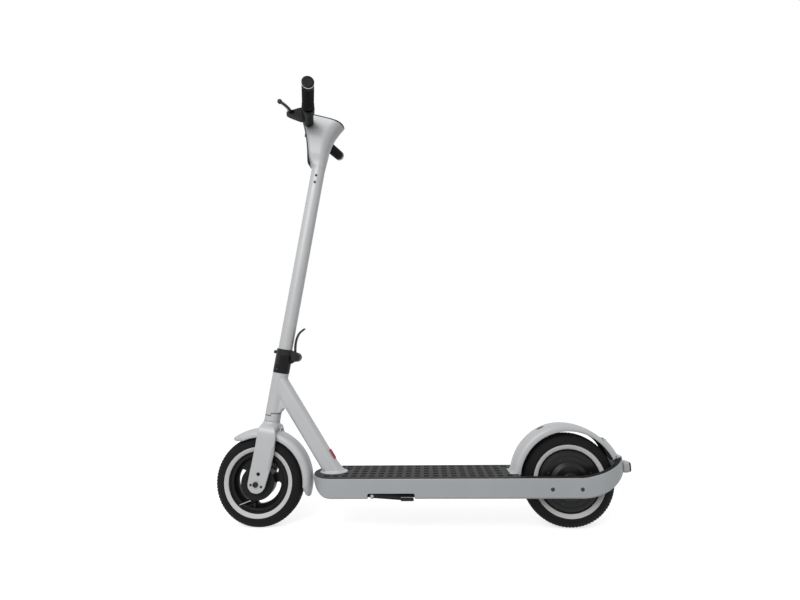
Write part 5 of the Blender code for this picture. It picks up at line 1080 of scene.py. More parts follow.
for label, side in (("left", -1), ("right", 1)):
    profile = [(r, side * (COVER_FACE + y)) for r, y in COVER_PROFILE]
    cover = piece(f"motor_cover_casting_{label}", turned(profile, 144, "Y", REAR))
    dress(cover, "rear_wheel", "black_paint", motor_black, f"motor_cover_{label}")
    circle = arc((0, 0), 0.0615, math.tau / 16, math.tau * 15 / 16, 7)
    points = [((x, side * (COVER_FACE + 0.0054), z), (0, side, 0)) for x, z in circle]
    screws(f"motor_cover_screws_{label}", "rear_wheel", points, 0.0026, AT_REAR)
dress(copy_of("rear_valve", "rear_valve_stem", 0.0004), "rear_wheel", "steel", steel, "rear_valve")
copper = finish("copper_winding_wire", (0.55, 0.25, 0.10), 0.38, 1.0, 0.0012, 0.00030, 0.25,
                gloss_spread=0.10)
dress(copy_of("motor_stator", "wound_stator", 0.0008), "frame", "copper_winding", copper, "motor_stator")


# Rear axle and dropouts. The steel axle doesn't turn. Its nuts clamp it to two thick plates, screwed
# inside the deck's loop.

axle = piece("rear_axle_shaft", rod(0.0060, -0.0572, 0.0572, "Y", segments=48))
for low, high in both_sides(0.0402, 0.0402 + 0.0055):
    weld(axle, prism(arc((0, 0), 0.0100, 0, math.tau * 5 / 6, 5), low, high))
ease(axle, 0.0005, 2, 30)
dress(axle, "frame", "steel", steel, "rear_axle", place=AT_REAR)
for label in ("left", "right"):
    plate = copy_of(f"dropout_{label}", f"dropout_plate_{label}", 0.0010)
    dress(plate, "frame", "black_paint", black_paint, f"dropout_{label}")


# Rear fender. A deep moulded guard in the frame's grey, standing on the mat in front and on the tail trim
# behind, slotted on its crest for the folded stem's catch. A black sheet inside its rear half is painted
# shade, the dark seen under the guard there.

CREST = 0.157
WHEELBASE = 0.874
base = DECK_TOP + 0.0003 - AXLE_Z
end = math.pi - math.asin(base / (CREST - 0.0195))


def ramp_up(value, start, stop):
    """A smooth rise from zero to one between two values."""
    t = min(1.0, max(0.0, (value - start) / (stop - start)))
    return t * t * (3 - 2 * t)


def guard_form(angle):
    """Crest radius, depth, half width and squareness of the guard at an angle round the wheel."""
    blend = ramp_up(math.degrees(angle), 52, 114)
    sag = 0.0125 + 0.0070 * blend
    return CREST - 0.0065 * (1 - blend), sag, 0.034 - 0.009 * (1 - blend), 2.2 + 1.2 * blend


rings = []
foot_front = FOOT_START - WHEELBASE
flare_start = end - math.radians(6.0)
flare_reach = -CREST * math.cos(math.pi - end) - foot_front - 0.0003
for i in range(121):
    angle = math.radians(25) + (end - math.radians(25)) * i / 120
    crest, sag, half, power = guard_form(angle)
    flare = max(0.0, angle - flare_start) / (end - flare_start)
    ring = []
    for x, y, z in fender_ring(angle, crest, sag, half, power):
        height = (math.hypot(x, z) - crest + sag + 0.0025) / (sag + 0.0025)
        ring.append((x - flare_reach * flare ** 2.2 * height, y, z - (z - base) * flare ** 2))
    rings.append(ring)
guard = piece("rear_wheel_guard", loft(rings))
foot_back = -CREST + 0.0195 - 0.001
foot = arc((foot_front + 0.006, -0.0295), 0.006, math.pi, 1.5 * math.pi, 8) + [(foot_back, -0.0355)]
foot += [(foot_back, 0.0355)] + arc((foot_front + 0.006, 0.0295), 0.006, math.pi / 2, math.pi, 8)
weld(guard, prism(foot, base, base + 0.0009, "XY"))
back = TAIL_X - WHEELBASE - 0.003
front = TAIL_X - WHEELBASE - TAIL_WALL + 0.001
top = (CREST - 0.0105) * math.sin(math.radians(26.5))
post = [(x, deck_top(x + WHEELBASE) + 0.0033 - AXLE_Z) for x in (front, back)] + [(back, top), (front, top)]
weld(guard, prism(post, -0.018, 0.018))
HOOK_SLOT = [(0.0110, -0.0050), (0.0110, 0.0050), (0.0070, 0.0090), (-0.0070, 0.0090), (-0.0110, 0.0050),
             (-0.0110, -0.0050), (-0.0070, -0.0090), (0.0070, -0.0090)]
cut(guard, prism(HOOK_SLOT, CREST - 0.02, CREST + 0.02, "XY"), Matrix.Rotation(-math.radians(25.5), 4, "Y"))
ease(guard, 0.0005, 2, 50)
dress(guard, "frame", "grey_paint", paint, "rear_fender", place=AT_REAR)
# A black sheet lines the inside of the guard's rear half as painted shade.
rings = []
for i in range(49):
    share = i / 48
    angle = math.radians(25.6 + 45 * share)
    crest, sag, half, power = guard_form(angle)
    taper = min(1.0, (1 - share) / 0.80) ** 2.8
    depth = sag - 0.0034 + 0.0099 * taper
    rings.append(fender_ring(angle, crest - 0.0032, depth, half - 0.0032, power, 0.0014))
dress(piece("rear_guard_liner", loft(rings), AT_REAR), "frame", "black_plastic", black_plastic)


# Plate bracket and tail light. A curved steel bracket, painted grey, stands off the guard on two bosses.
# The lamp on the loop's end has a grey housing and a dark red lens with cast ribs.

BOSS_ANGLES = (30.0, 43.5)
rings = []
for i in range(25):
    angle = math.radians(27.0 + 19.5 * i / 24)
    crest, sag, half, power = guard_form(angle)
    rings.append(fender_ring(angle, crest + 0.0050, sag, 0.0245, power, 0.0024))
bracket = piece("number_plate_bracket", loft(rings))
for degrees in BOSS_ANGLES:
    turn = Matrix.Rotation(math.radians(90.0 - degrees), 4, "Y")
    weld(bracket, rod(0.0042, 0.1508, 0.1540, segments=32), turn)
ease(bracket, 0.0005, 2, 50)
dress(bracket, "frame", "grey_paint", paint, "plate_bracket", place=AT_REAR)
outwards = [Vector((math.cos(math.radians(a)), 0, math.sin(math.radians(a)))) for a in BOSS_ANGLES]
screws("bracket_screws", "frame", [(out * (0.1505 + 0.0048), out) for out in outwards], 0.0030, AT_REAR)

lamp_grey = finish("grey_lamp_plastic", (0.50, 0.51, 0.52), 0.45, 0.0, 0.0010, 0.00003, 0.04,
                   worn=(0.6, 0.6, 0.6), edge=0.0008)
lens_red = finish("dark_red_lens", (0.045, 0.0025, 0.004), 0.16, 0.0, 0.0020, 0.00001, 0.15, coat=0.2,
                  shine=0.3)
dress(copy_of("tail_light_housing", "tail_lamp_housing", 0.0012, 3), "frame", "grey_plastic", lamp_grey,
      "tail_light_housing")
lens = copy_of("tail_light_lens", "tail_lamp_lens", 0.0005)
low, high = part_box("tail_light_lens")
for i in range(7):
    z = low[2] + 0.0035 + (high[2] - low[2] - 0.007) * i / 6
    groove_high = (high[0] + 0.01, high[1] - 0.003, z + 0.0005)
    cut(lens, block((high[0] - 0.0004, low[1] + 0.003, z - 0.0005), groove_high))
dress(lens, "frame", "red_lens", lens_red, "tail_light_lens")


# Fold joint, lower half. A machined block clamped on the steerer, cut away in front for the upper half's
# skirt, with two knuckles for the pin behind. A pinch bolt on each side closes it on the steerer.

FOLD_RADIUS = 0.024
SPLIT = 0.3655
FOLD_TOP = 0.3825
SKIRT_LOW = 0.3363
SKIRT_BACK = -0.004
PIVOT_N = 0.0387
PIVOT_S = 0.3648
CHEEK_RADIUS = 0.0138
PINCH = (-0.0075, 0.3235)


def pin_bore():
    """The hole for the hinge pin."""
    return rod(0.0033, -0.04, 0.04, "Y", (PIVOT_N, 0, PIVOT_S), 40)


fold_black = finish("black_fold_paint", (0.011, 0.0112, 0.0115), 0.42, 0.0, 0.0010, 0.00002, 0.12,
                    worn=(0.07, 0.07, 0.07), edge=0.0009, shine=0.25)
clamp = piece("fold_clamp", rod(FOLD_RADIUS, HEAD_TOP + 0.0003, SPLIT, segments=112))
cut(clamp, block((-0.06, -0.06, SKIRT_LOW - 0.0003), (SKIRT_BACK, 0.06, SPLIT + 0.06)))
cut(clamp, rod(0.0148, 0.29, 0.3353, segments=64))
for low, high in both_sides(0.0040, 0.0073):
    knuckle = arc((PIVOT_N, PIVOT_S), 0.0083, -0.35 * math.pi, 0.75 * math.pi, 28)
    knuckle += [(FOLD_RADIUS + 0.0008, SPLIT), (0.019, SPLIT), (0.019, SPLIT - 0.024), (0.026, SPLIT - 0.022)]
    weld(clamp, prism(knuckle, low, high))
cut(clamp, pin_bore())
pinch_y = math.sqrt(FOLD_RADIUS ** 2 - PINCH[0] ** 2)
for low, high in both_sides(pinch_y - 0.0022, pinch_y + 0.01):
    cut(clamp, rod(0.0040, low, high, "Y", (PINCH[0], 0, PINCH[1]), 32))
cut(clamp, block((-0.0006, -0.03, HEAD_TOP), (0.0006, -0.012, SKIRT_LOW)))
ease(clamp, 0.0005, 2, 40)
dress(clamp, "fork", "black_paint", rim_black, "fold_base", place=STEER)
screws("pinch_bolts", "fork", on_both_sides([(PINCH[0], pinch_y - 0.0018, PINCH[1])]), 0.0034, STEER)


# Fold joint, upper half. A band and a front skirt that close over the lower half, two cheeks that carry
# the steel pin, and a spigot that is bonded into the stem.

band = piece("fold_band", rod(FOLD_RADIUS, SKIRT_LOW, FOLD_TOP, segments=112))
cut(band, block((SKIRT_BACK - 0.0003, -0.06, SKIRT_LOW - 0.06), (0.06, 0.06, SPLIT + 0.0003)))
for low, high in both_sides(0.0076, 0.0110):
    cheek = arc((PIVOT_N - 0.0006, PIVOT_S), CHEEK_RADIUS - 0.0006, -0.98 * math.pi, 0.38 * math.pi, 44)
    cheek += [(0.0205, FOLD_TOP - 0.0006), (0.004, FOLD_TOP - 0.0006), (0.004, SPLIT + 0.0008),
              (FOLD_RADIUS + 0.0006, SPLIT + 0.0008)]
    weld(band, prism(cheek, low, high))
weld(band, rod(0.0175, FOLD_TOP - 0.001, FOLD_TOP + 0.028, segments=72))
cut(band, pin_bore())
cut(band, rod(0.0051, -0.034, -0.0085, "X", (0, 0, 0.3712), 40))
ease(band, 0.0006, 2, 40)
dress(band, "stem", "black_paint", fold_black, "fold_top", place=STEER)
pin_profile = [(0, -0.0133), (0.0049, -0.0133), (0.0055, -0.0128), (0.0055, -0.0113), (0.0030, -0.0113),
               (0.0030, 0.0113), (0.0055, 0.0113), (0.0055, 0.0128), (0.0049, 0.0133), (0, 0.0133)]
pin = piece("fold_hinge_pin", turned(pin_profile, 48, "Y", (PIVOT_N, 0, PIVOT_S)), STEER)
dress(pin, "stem", "black_paint", fold_black, "fold_pin")


# Latch and safety button. The latch is a forged cam lever whose arm curves up behind the stem. The
# spring loaded button in front frees it.

def flow(points, count):
    """Even steps along a smooth curve through a few points."""
    ends = [points[0]] + list(points) + [points[-1]]
    result = []
    for i in range(count + 1):
        t = i / count * (len(points) - 1)
        k = min(int(t), len(points) - 2)
        f = t - k
        row = []
        for a, b, c, d in zip(*ends[k:k + 4]):
            row.append(0.5 * (2 * b + (c - a) * f + (2 * a - 5 * b + 4 * c - d) * f * f
                              + (3 * b - a - 3 * c + d) * f ** 3))
        result.append(tuple(row))
    return result


SPINE = [(0.0335, 0.3720), (0.0308, 0.3830), (0.0286, 0.3960), (0.0281, 0.4080), (0.0286, 0.4190),
         (0.0315, 0.4310), (0.0362, 0.4400), (0.0480, 0.4530)]
latch = piece("latch_cam_lever", rod(0.0120, -0.0037, 0.0037, "Y", (PIVOT_N, 0, PIVOT_S), 72))
spine = flow(SPINE, 56)
rings = []
for i, (n, s) in enumerate(spine):
    before = spine[max(0, i - 1)]
    after = spine[min(len(spine) - 1, i + 1)]
    length = math.hypot(after[0] - before[0], after[1] - before[1])
    across = ((after[1] - before[1]) / length, -(after[0] - before[0]) / length)
    wide = 0.0037 + 0.0033 * min(1.0, max(0.0, (i - 5) / 8))
    end = min(1.0, (56 - i) / 3 + 0.35)
    ring = []
    for k in range(16):
        c, d = math.cos(math.tau * k / 16), math.sin(math.tau * k / 16)
        depth = (0.0031 - 0.0008 * i / 56) * bulge(c, 0.6) * end
        side = wide * bulge(d, 0.45) * (0.8 + 0.2 * end)
        ring.append((n + across[0] * depth, side, s + across[1] * depth))
    rings.append(ring)
weld(latch, loft(rings))
cut(latch, pin_bore())
shade(latch, 45)
dress(latch, "latch_lever", "black_paint", fold_black, "latch_lever", place=STEER)
button_profile = [(0, -0.0318), (0.0038, -0.0318), (0.0046, -0.0312), (0.0048, -0.0302), (0.0048, -0.0125),
                  (0.0044, -0.0120), (0, -0.0120)]
button = piece("fold_safety_button", turned(button_profile, 48, "X", (0, 0, 0.3712)), STEER)
dress(button, "safety_button", "black_plastic", black_plastic, "safety_button")


# Stem. A drawn aluminium tube, painted like the frame, with two screws on each side that hold the
# cockpit's sleeve.

STEM_RADIUS = 0.0205
tube = [(0.0178, 0.3828), (STEM_RADIUS, 0.3828), (STEM_RADIUS, 0.9850), (0.0178, 0.9850)]
dress(piece("stem_column", turned(tube, 112), STEER), "stem", "grey_paint", paint, "stem_tube")
stem_points = []
for n, s in ((0.0021, 0.9220), (0.0016, 0.9001)):
    for side in (-1, 1):
        out = Vector((n, side * math.sqrt(STEM_RADIUS ** 2 - n * n), 0)).normalized()
        stem_points.append((out * (STEM_RADIUS + 0.0001) + Vector((0, 0, s)), out))
screws("stem_screws", "stem", stem_points, 0.0040, STEER)


# Cockpit. A cast and painted housing that grows smoothly out of the stem. A dark panel with the
# headlight runs down its front, and a glossy display closes its top.

HEAD_BOTTOM = 0.9500
HEAD_FOOT = HEAD_BOTTOM - 0.003
BAR_N = -0.0479
BAR_S = 1.0780
BAR_BORE = 0.0114
PANEL = 0.0035
LAMP_S = 1.060
HEAD_FRONT = [(-0.0238, 0.947), (-0.0272, 0.950), (-0.0305, 0.955), (-0.0415, 1.003), (-0.0540, 1.046),
              (-0.0735, 1.092), (-0.0812, 1.109), (-0.0950, 1.140)]
HEAD_BACK = [(0.0220, 0.947), (0.0220, 0.975), (0.0225, 0.998), (0.0265, 1.029), (0.0327, 1.050),
             (0.0415, 1.070), (0.0494, 1.0845), (0.0562, 1.0962), (0.0595, 1.1050), (0.0615, 1.128)]
HEAD_WIDTH = [(0.0238, 0.947), (0.0248, 0.962), (0.0300, 0.998), (0.0340, 1.046), (0.0340, 1.168)]
HEAD_TOP_LINE = [(-0.0830, 1.1143), (0.0139, 1.1042), (0.0352, 1.1008), (0.0568, 1.0965)]


def along(points, s):
    """Read a smooth line through (value, s) points at a height."""
    slopes = [(b[0] - a[0]) / (b[1] - a[1]) for a, b in zip(points, points[1:])]
    ends = [slopes[0]]
    for a, b in zip(slopes, slopes[1:]):
        ends.append(0.0 if a * b <= 0 else 2 * a * b / (a + b))
    ends.append(slopes[-1])
    for k in range(len(points) - 1):
        (v0, s0), (v1, s1) = points[k], points[k + 1]
        if s <= s1 or k == len(points) - 2:
            h = s1 - s0
            t = min(1.0, max(0.0, (s - s0) / h))
            return (v0 * (1 + 2 * t) * (1 - t) ** 2 + ends[k] * h * t * (1 - t) ** 2
                    + v1 * t * t * (3 - 2 * t) + ends[k + 1] * h * t * t * (t - 1))


def head_ring(s, shift, inset, sleeve):
    """One section of the cockpit: round at the stem, flat in front and bowed behind further up."""
    neck = sleeve - 0.0008 * (1 - ramp_up(s, HEAD_FOOT, HEAD_BOTTOM + 0.006))
    near = ramp_up(s, HEAD_FOOT, HEAD_BOTTOM + 0.007)
    far = ramp_up(s, HEAD_FOOT, HEAD_BOTTOM + 0.040)
    front = -neck + (along(HEAD_FRONT, s) + shift + neck) * near
    back = neck + (along(HEAD_BACK, s) - neck) * far
    half = neck + (along(HEAD_WIDTH, s) - inset - neck) * far
    corner = neck + (0.012 - neck) * ramp_up(s, HEAD_BOTTOM, HEAD_BOTTOM + 0.030)
    bow = neck + (min(0.040, 0.45 * (back - front)) - neck) * far
    power = 2.0 + 0.6 * far
    ring = [(front + corner - corner * c, -half + corner - corner * d, s)
            for c, d in arc((0, 0), 1.0, 0.0, math.pi / 2, 12)]
    for k in range(1, 48):
        angle = math.pi * (k / 48 - 0.5)
        across = half * bulge(math.sin(angle), 2 / power)
        ring.append((back - bow + bow * abs(math.cos(angle)) ** (2 / power), across, s))
    return ring + [(n, -y, z) for n, y, z in ring[12::-1]]


def head_form(shift, inset, neck):
    """The cockpit's whole outer form, running past its slanted top."""
    heights = [HEAD_FOOT + 0.001 * i for i in range(12)]
    heights += [HEAD_BOTTOM + 0.009 + 0.0028 * i for i in range(1, 60)]
    return loft([head_ring(s, shift, inset, neck) for s in heights])


def top_line(drop):
    """The cockpit's top edge from front to back, lowered by an amount."""
    flipped = [(s - drop, n) for n, s in HEAD_TOP_LINE]
    first, last = HEAD_TOP_LINE[0][0], HEAD_TOP_LINE[-1][0]
    spots = [first + (last - first) * i / 40 for i in range(41)]
    return [(n, along(flipped, n)) for n in spots]


shell = piece("cockpit_housing", head_form(PANEL + 0.0003, 0.0, 0.0217))
under = top_line(0.0043)
under = [(-0.12, under[0][1] + 0.005)] + under + [(0.09, under[-1][1] - 0.010), (0.09, 1.20), (-0.12, 1.20)]
cut(shell, prism(under, -0.2, 0.2))
cut(shell, rod(0.0208, 0.93, 0.9853, segments=96))
cut(shell, rod(BAR_BORE, -0.06, 0.06, "Y", (BAR_N, 0, BAR_S), 64))
shade(shell, 40)
dress(shell, "stem", "grey_paint", paint, "cockpit_shell", place=STEER)

glass = finish("dark_glossy_glass", (0.006, 0.006, 0.0065), 0.10, 0.0, 0.0030, 0.000004, 0.20, coat=0.15,
               gloss_spread=0.02, shine=0.25)
PANEL_SECTION = [(-1.0, 0.0034), (-1.0, 0.0012), (-0.975, 0.0004), (-0.92, 0.0001), (-0.5, 0.0), (0.0, 0.0),
                 (0.5, 0.0), (0.92, 0.0001), (0.975, 0.0004), (1.0, 0.0012), (1.0, 0.0034)]
rings = []
low_s, high_s = 0.9550, 1.1090
for i in range(61):
    s = low_s + (high_s - low_s) * (1 - math.cos(math.pi * i / 60)) / 2
    near = min(1.0, (s - low_s) / 0.007)
    half = 0.017 + 0.007 * math.sqrt(1 - (1 - near) ** 2)
    front = along(HEAD_FRONT, s)
    slope = (along(HEAD_FRONT, s + 0.001) - along(HEAD_FRONT, s - 0.001)) / 0.002
    tilt = math.sqrt(1 + slope * slope)
    rings.append([(front + min(PANEL, depth * tilt), y * half, s) for y, depth in PANEL_SECTION])
panel = piece("headlight_cover", loft(rings))
lamp_slope = math.atan2(along(HEAD_FRONT, LAMP_S - 0.01) - along(HEAD_FRONT, LAMP_S + 0.01), 0.02)
LAMP = Matrix.Translation((along(HEAD_FRONT, LAMP_S), 0, LAMP_S)) @ Matrix.Rotation(lamp_slope, 4, "Y")
cut(panel, rod(0.0125, -0.003, 0.0029, "X", segments=72), LAMP)
ease(panel, 0.0003, 2, 50)
dress(panel, "stem", "dark_glass", glass, "headlight_panel", place=STEER)
lamp_lens = finish("clear_lamp_lens", (0.62, 0.64, 0.66), 0.14, 0.0, 0.0030, 0.00002, 0.06, coat=0.8)
lens_profile = [(0, 0.0028), (0.0122, 0.0028), (0.0122, 0.0021), (0.0114, 0.0016), (0.0105, 0.0020)]
lens_profile += [(0.0096 - 0.0016 * i, 0.0021 - 0.0005 * (i % 2)) for i in range(6)] + [(0, 0.0015)]
dress(piece("headlight_lens", turned(lens_profile, 72, "X"), STEER @ LAMP), "stem", "dark_glass", lamp_lens)

display = piece("display_glass", prism(top_line(0.0) + top_line(0.0040)[::-1], -0.06, 0.06))
clip(display, head_form(0.001, 0.0004, 0.0200))
front, behind = HEAD_TOP_LINE[:2]
centre = Vector((front[0] + (behind[0] - front[0]) * 0.80, 0, front[1] + (behind[1] - front[1]) * 0.80))
tilt = math.atan2(front[1] - behind[1], behind[0] - front[0])
BUTTON = Matrix.Translation(centre) @ Matrix.Rotation(tilt, 4, "Y")
cut(display, rod(0.0068, -0.0028, 0.02, segments=64), BUTTON)
ease(display, 0.0006, 3, 40)
dress(display, "stem", "dark_glass", glass, "display_cover", place=STEER)
push = [(0, -0.0015), (0.0065, -0.0015), (0.0065, 0.0010), (0.0061, 0.0015), (0.0044, 0.0012),
        (0.0038, 0.0009), (0, 0.0007)]
button = piece("power_push_button", turned(push, 64), STEER @ BUTTON)
dress(button, "power_button", "black_plastic", black_plastic, "power_button")


# Handlebar. One steel tube, straight through the cockpit and swept back on both sides, with ribbed
# rubber grips. A hard ring and a plastic cap close each end.

KINK_Y = 0.0345
SWEEP = math.radians(13.2)
LIFT = math.radians(5.3)
GRIP_RADIUS = 0.0161
GRIP_START = 0.0963
BAR_RADIUS = 0.0111
RIDGE_STEP = 0.0034


def bar_out(side):
    """The way that one half of the bar points, outwards from the cockpit."""
    return Vector((math.sin(SWEEP), side * math.cos(SWEEP), math.tan(LIFT))).normalized()


def bar_frame(side):
    """The frame of one half of the bar: Z outwards along it, X as near rearward as that allows."""
    out = bar_out(side)
    back = (Vector((1, 0, 0)) - out * out.x).normalized()
    turn = Matrix((back, out.cross(back), out)).transposed().to_4x4()
    return STEER @ Matrix.Translation((BAR_N, side * KINK_Y, BAR_S)) @ turn


bar_reach = (0.238 - KINK_Y - GRIP_RADIUS * math.sin(SWEEP)) / bar_out(1).y
tube_end = bar_reach - 0.0075 - 0.0003
path = [Vector((0, -KINK_Y, 0)) + bar_out(-1) * tube_end]
for side in (-1, 1):
    kink = Vector((0, side * KINK_Y, 0))
    inside = kink - Vector((0, side * 0.008, 0))
    outside = kink + bar_out(side) * 0.008
    bend = []
    for i in range(9):
        t = i / 8
        bend.append(outside * (1 - t) ** 2 + kink * 2 * t * (1 - t) + inside * t * t)
    path += bend if side < 0 else bend[::-1]
path.append(Vector((0, KINK_Y, 0)) + bar_out(1) * tube_end)
rings = []
for i, point in enumerate(path):
    way = (path[min(len(path) - 1, i + 1)] - path[max(0, i - 1)]).normalized()
    across = (Vector((1, 0, 0)) - way * way.x).normalized()
    up = across.cross(way)
    middle = point + Vector((BAR_N, 0, BAR_S))
    rings.append([middle + across * (BAR_RADIUS * math.cos(math.tau * k / 56))
                  + up * (BAR_RADIUS * math.sin(math.tau * k / 56)) for k in range(56)])
dress(piece("bent_handlebar", loft(rings), STEER), "stem", "black_paint", black_paint, "handlebar")

ridge_tree = node_tree("ridges_along_the_grip", [("Count", "Int"), ("Spacing", "Vector"),
                                                 ("Finish", "Material")])
given = ridge_tree.nodes.new("NodeGroupInput")
seats = add_node(ridge_tree, "GeometryNodeMeshLine", {"Count": given.outputs["Count"],
                 "Offset": given.outputs["Spacing"]})
row = add_node(ridge_tree, "GeometryNodeInstanceOnPoints", {"Points": seats.outputs[0],
               "Instance": given.outputs["Geometry"]})
close_tree(ridge_tree, given, row.outputs[0])

grip_rubber = finish("grip_rubber", (0.009, 0.009, 0.0095), 0.72, 0.0, 0.0006, 0.00008, 0.14,
                     worn=(0.028, 0.028, 0.028), edge=0.0005, shine=0.15)
grip_profile = [(r, GRIP_START + z) for r, z in (
    (BAR_BORE, 0.0), (0.0172, 0.0), (0.0180, 0.0008), (0.0180, 0.0038), (0.0174, 0.0048), (0.0162, 0.0060))]
grip_profile += [(r, tube_end - z) for r, z in (
    (0.0163, 0.010), (0.0168, 0.004), (0.0169, 0.0025), (0.0166, 0.0010), (BAR_BORE, 0.0010))]
ridge_profile = [(r, GRIP_START + 0.0105 + z) for r, z in (
    (0.0159, -0.0011), (0.0163, -0.0010), (0.0170, -0.0004), (0.0170, 0.0004), (0.0163, 0.0010),
    (0.0159, 0.0011))]
ring_profile = [(r, tube_end + z) for r, z in (
    (BAR_BORE, -0.0008), (0.0168, -0.0008), (0.0171, -0.0004), (0.0171, 0.0014), (0.0168, 0.0018),
    (BAR_BORE, 0.0018))]
cap_profile = [(r, tube_end + 0.0020 + z) for r, z in (
    (0, 0.0), (0.0169, 0.0), (0.0170, 0.0034), (0.0164, 0.0048), (0.0150, 0.0055), (0.0110, 0.0053),
    (0.0103, 0.0046), (0, 0.0044))]
ridge_count = int((tube_end - GRIP_START - 0.022) / RIDGE_STEP)
for label, side in (("left", -1), ("right", 1)):
    half = bar_frame(side)
    grip = piece(f"rubber_grip_{label}", turned(grip_profile, 88), half)
    dress(grip, "stem", "black_rubber", grip_rubber, f"grip_{label}")
    ridges = piece(f"grip_ridges_{label}", turned(ridge_profile, 56))
    grow(ridges, ridge_tree, count=ridge_count, spacing=Vector((0, 0, RIDGE_STEP)), finish=grip_rubber)
    dress(ridges, "stem", "black_rubber", grip_rubber, place=half)
    dress(piece(f"grip_collar_{label}", turned(ring_profile, 88), half), "stem", "steel", steel)
    cap = piece(f"grip_end_cap_{label}", turned(cap_profile, 88), half)
    dress(cap, "stem", "black_plastic", black_plastic, f"end_cap_{label}")


# Brake perch and lever. The perch is moulded nylon, a sleeve with a wider clamp and a forked bracket.
# The lever is a forged blade with a ball end that turns in the fork on its pin.

LEFT_BAR = bar_frame(-1)
PIVOT = Vector((-0.050, -0.008, 0.045))
LEVER_LENGTH = 0.095
LEVER_STRAIGHT = 0.010
LEVER_TIP = (-0.020, -0.030)

perch_sleeve = [(BAR_BORE, 0.0045), (0.0157, 0.0045), (0.0165, 0.0053), (0.0165, 0.0590), (0.0172, 0.0602),
                (0.0188, 0.0612), (0.0190, 0.0625), (0.0190, 0.0830), (0.0182, 0.0846), (0.0170, 0.0855),
                (BAR_BORE, 0.0855)]
perch = piece("brake_lever_perch", turned(perch_sleeve, 88))
bracket_outline = [(-0.006, 0.0165), (-0.016, 0.0150), (-0.028, 0.0105), (-0.038, 0.0040), (-0.047, -0.0015),
                   (-0.058, -0.0028), (-0.0625, -0.007), (-0.061, -0.0125), (-0.052, -0.0160),
                   (-0.036, -0.0185), (-0.016, -0.0205), (-0.006, -0.0150)]
weld(perch, prism(flow(bracket_outline, 66), 0.030, 0.054, "XY"))
cut(perch, block((PIVOT.x - 0.05, PIVOT.y - 0.0038, PIVOT.z - 0.0080),
                 (PIVOT.x + 0.0105, PIVOT.y + 0.0038, 0.074)))
cut(perch, rod(0.0033, -0.03, 0.03, "Y", (PIVOT.x, 0, PIVOT.z), 32))
cut(perch, rod(BAR_BORE, 0.0, 0.12, segments=64))
ease(perch, 0.0008, 2, 50)
dress(perch, "stem", "black_plastic", black_plastic, "brake_perch", place=LEFT_BAR)
screws("brake_clamp_screws", "stem", [((0.0045, -0.0187, 0.0725), (0.2, -1, 0)),
                                      ((0.0100, 0.0163, 0.0725), (0.5, 0.86, 0))], 0.0026, LEFT_BAR)

lever_black = finish("black_lever_paint", (0.012, 0.012, 0.0125), 0.30, 0.0, 0.0010, 0.00002, 0.12,
                     worn=(0.08, 0.08, 0.08), edge=0.0012, shine=0.4)
blade = piece("brake_blade", rod(0.0075, -0.0035, 0.0035, "Y", segments=56))
rings = []
for i in range(49):
    share = i / 48
    w = LEVER_LENGTH * share
    free = max(0.0, w - LEVER_STRAIGHT) / (LEVER_LENGTH - LEVER_STRAIGHT)
    bend = 0.75 * free + 0.25 * free * free
    grown = ramp_up(w, 0.012, 0.030)
    thick = 0.0038 + (0.0010 - 0.0008 * share) * grown
    tall = 0.0034 + 0.0014 * grown
    ring = []
    for k in range(20):
        c, d = math.cos(math.tau * k / 20), math.sin(math.tau * k / 20)
        x = LEVER_TIP[0] * bend + thick * bulge(c, 0.65)
        ring.append((x, LEVER_TIP[1] * bend + tall * bulge(d, 0.65), w))
    rings.append(ring)
weld(blade, loft(rings))
ball = [(0, -0.0068)] + [(0.0068 * math.cos(math.radians(a)), 0.0068 * math.sin(math.radians(a)))
                         for a in range(-80, 81, 10)] + [(0, 0.0068)]
weld(blade, turned(ball, 40, "Z", (*LEVER_TIP, LEVER_LENGTH)))
weld(blade, rod(0.0030, -0.0075, 0.0060, "Y", segments=32))
shade(blade, 42)
dress(blade, "brake_lever", "black_paint", lever_black, "brake_lever",
      place=LEFT_BAR @ Matrix.Translation(PIVOT))


# Throttle. A sleeve of its own on the right half of the bar, and beside it a ring with the thumb paddle.

RIGHT_BAR = bar_frame(1)
PADDLE_REACH = 0.049
PADDLE_TURN = Matrix.Rotation(math.radians(80.0), 4, "Z")
sleeve = turned([(BAR_BORE, 0.0045), (0.0157, 0.0045), (0.0165, 0.0053), (0.0165, 0.0475), (0.0186, 0.0490),
                 (0.0190, 0.0500), (0.0190, 0.0583), (0.0184, 0.0595), (BAR_BORE, 0.0595)], 88)
dress(piece("throttle_sleeve", sleeve, RIGHT_BAR), "stem", "black_plastic", black_plastic, "throttle_housing")
thumb = piece("thumb_throttle", turned([(BAR_BORE, 0.0600), (0.0175, 0.0600), (0.0180, 0.0605),
                                        (0.0180, 0.0725), (0.0175, 0.0730), (BAR_BORE, 0.0730)], 88))
paddle = [(0.013, -0.0030), (PADDLE_REACH - 0.006, -0.0025), (PADDLE_REACH - 0.002, -0.0018),
          (PADDLE_REACH, 0.0), (PADDLE_REACH - 0.0015, 0.0022), (PADDLE_REACH - 0.004, 0.0030),
          (0.030, 0.0026), (0.013, 0.0040)]
weld(thumb, prism(paddle, 0.0600, 0.0730, "XY"), PADDLE_TURN)
for i in range(4):
    start = PADDLE_REACH - 0.0065 - 0.0030 * i
    cut(thumb, block((start, 0.0016, 0.0620), (start + 0.0010, 0.010, 0.0710)), PADDLE_TURN)
ease(thumb, 0.0006, 2, 50)
dress(thumb, "throttle", "black_plastic", black_plastic, "throttle_lever", place=RIGHT_BAR)
screws("throttle_screw", "stem", [((0.0045, 0.0187, 0.0542), (0.2, 1, 0))], 0.0022, RIGHT_BAR)


# Kickstand. A forged arm with a rubber foot, folded up into its pocket, on a leaning bolt through a
# block in the pocket's corner.

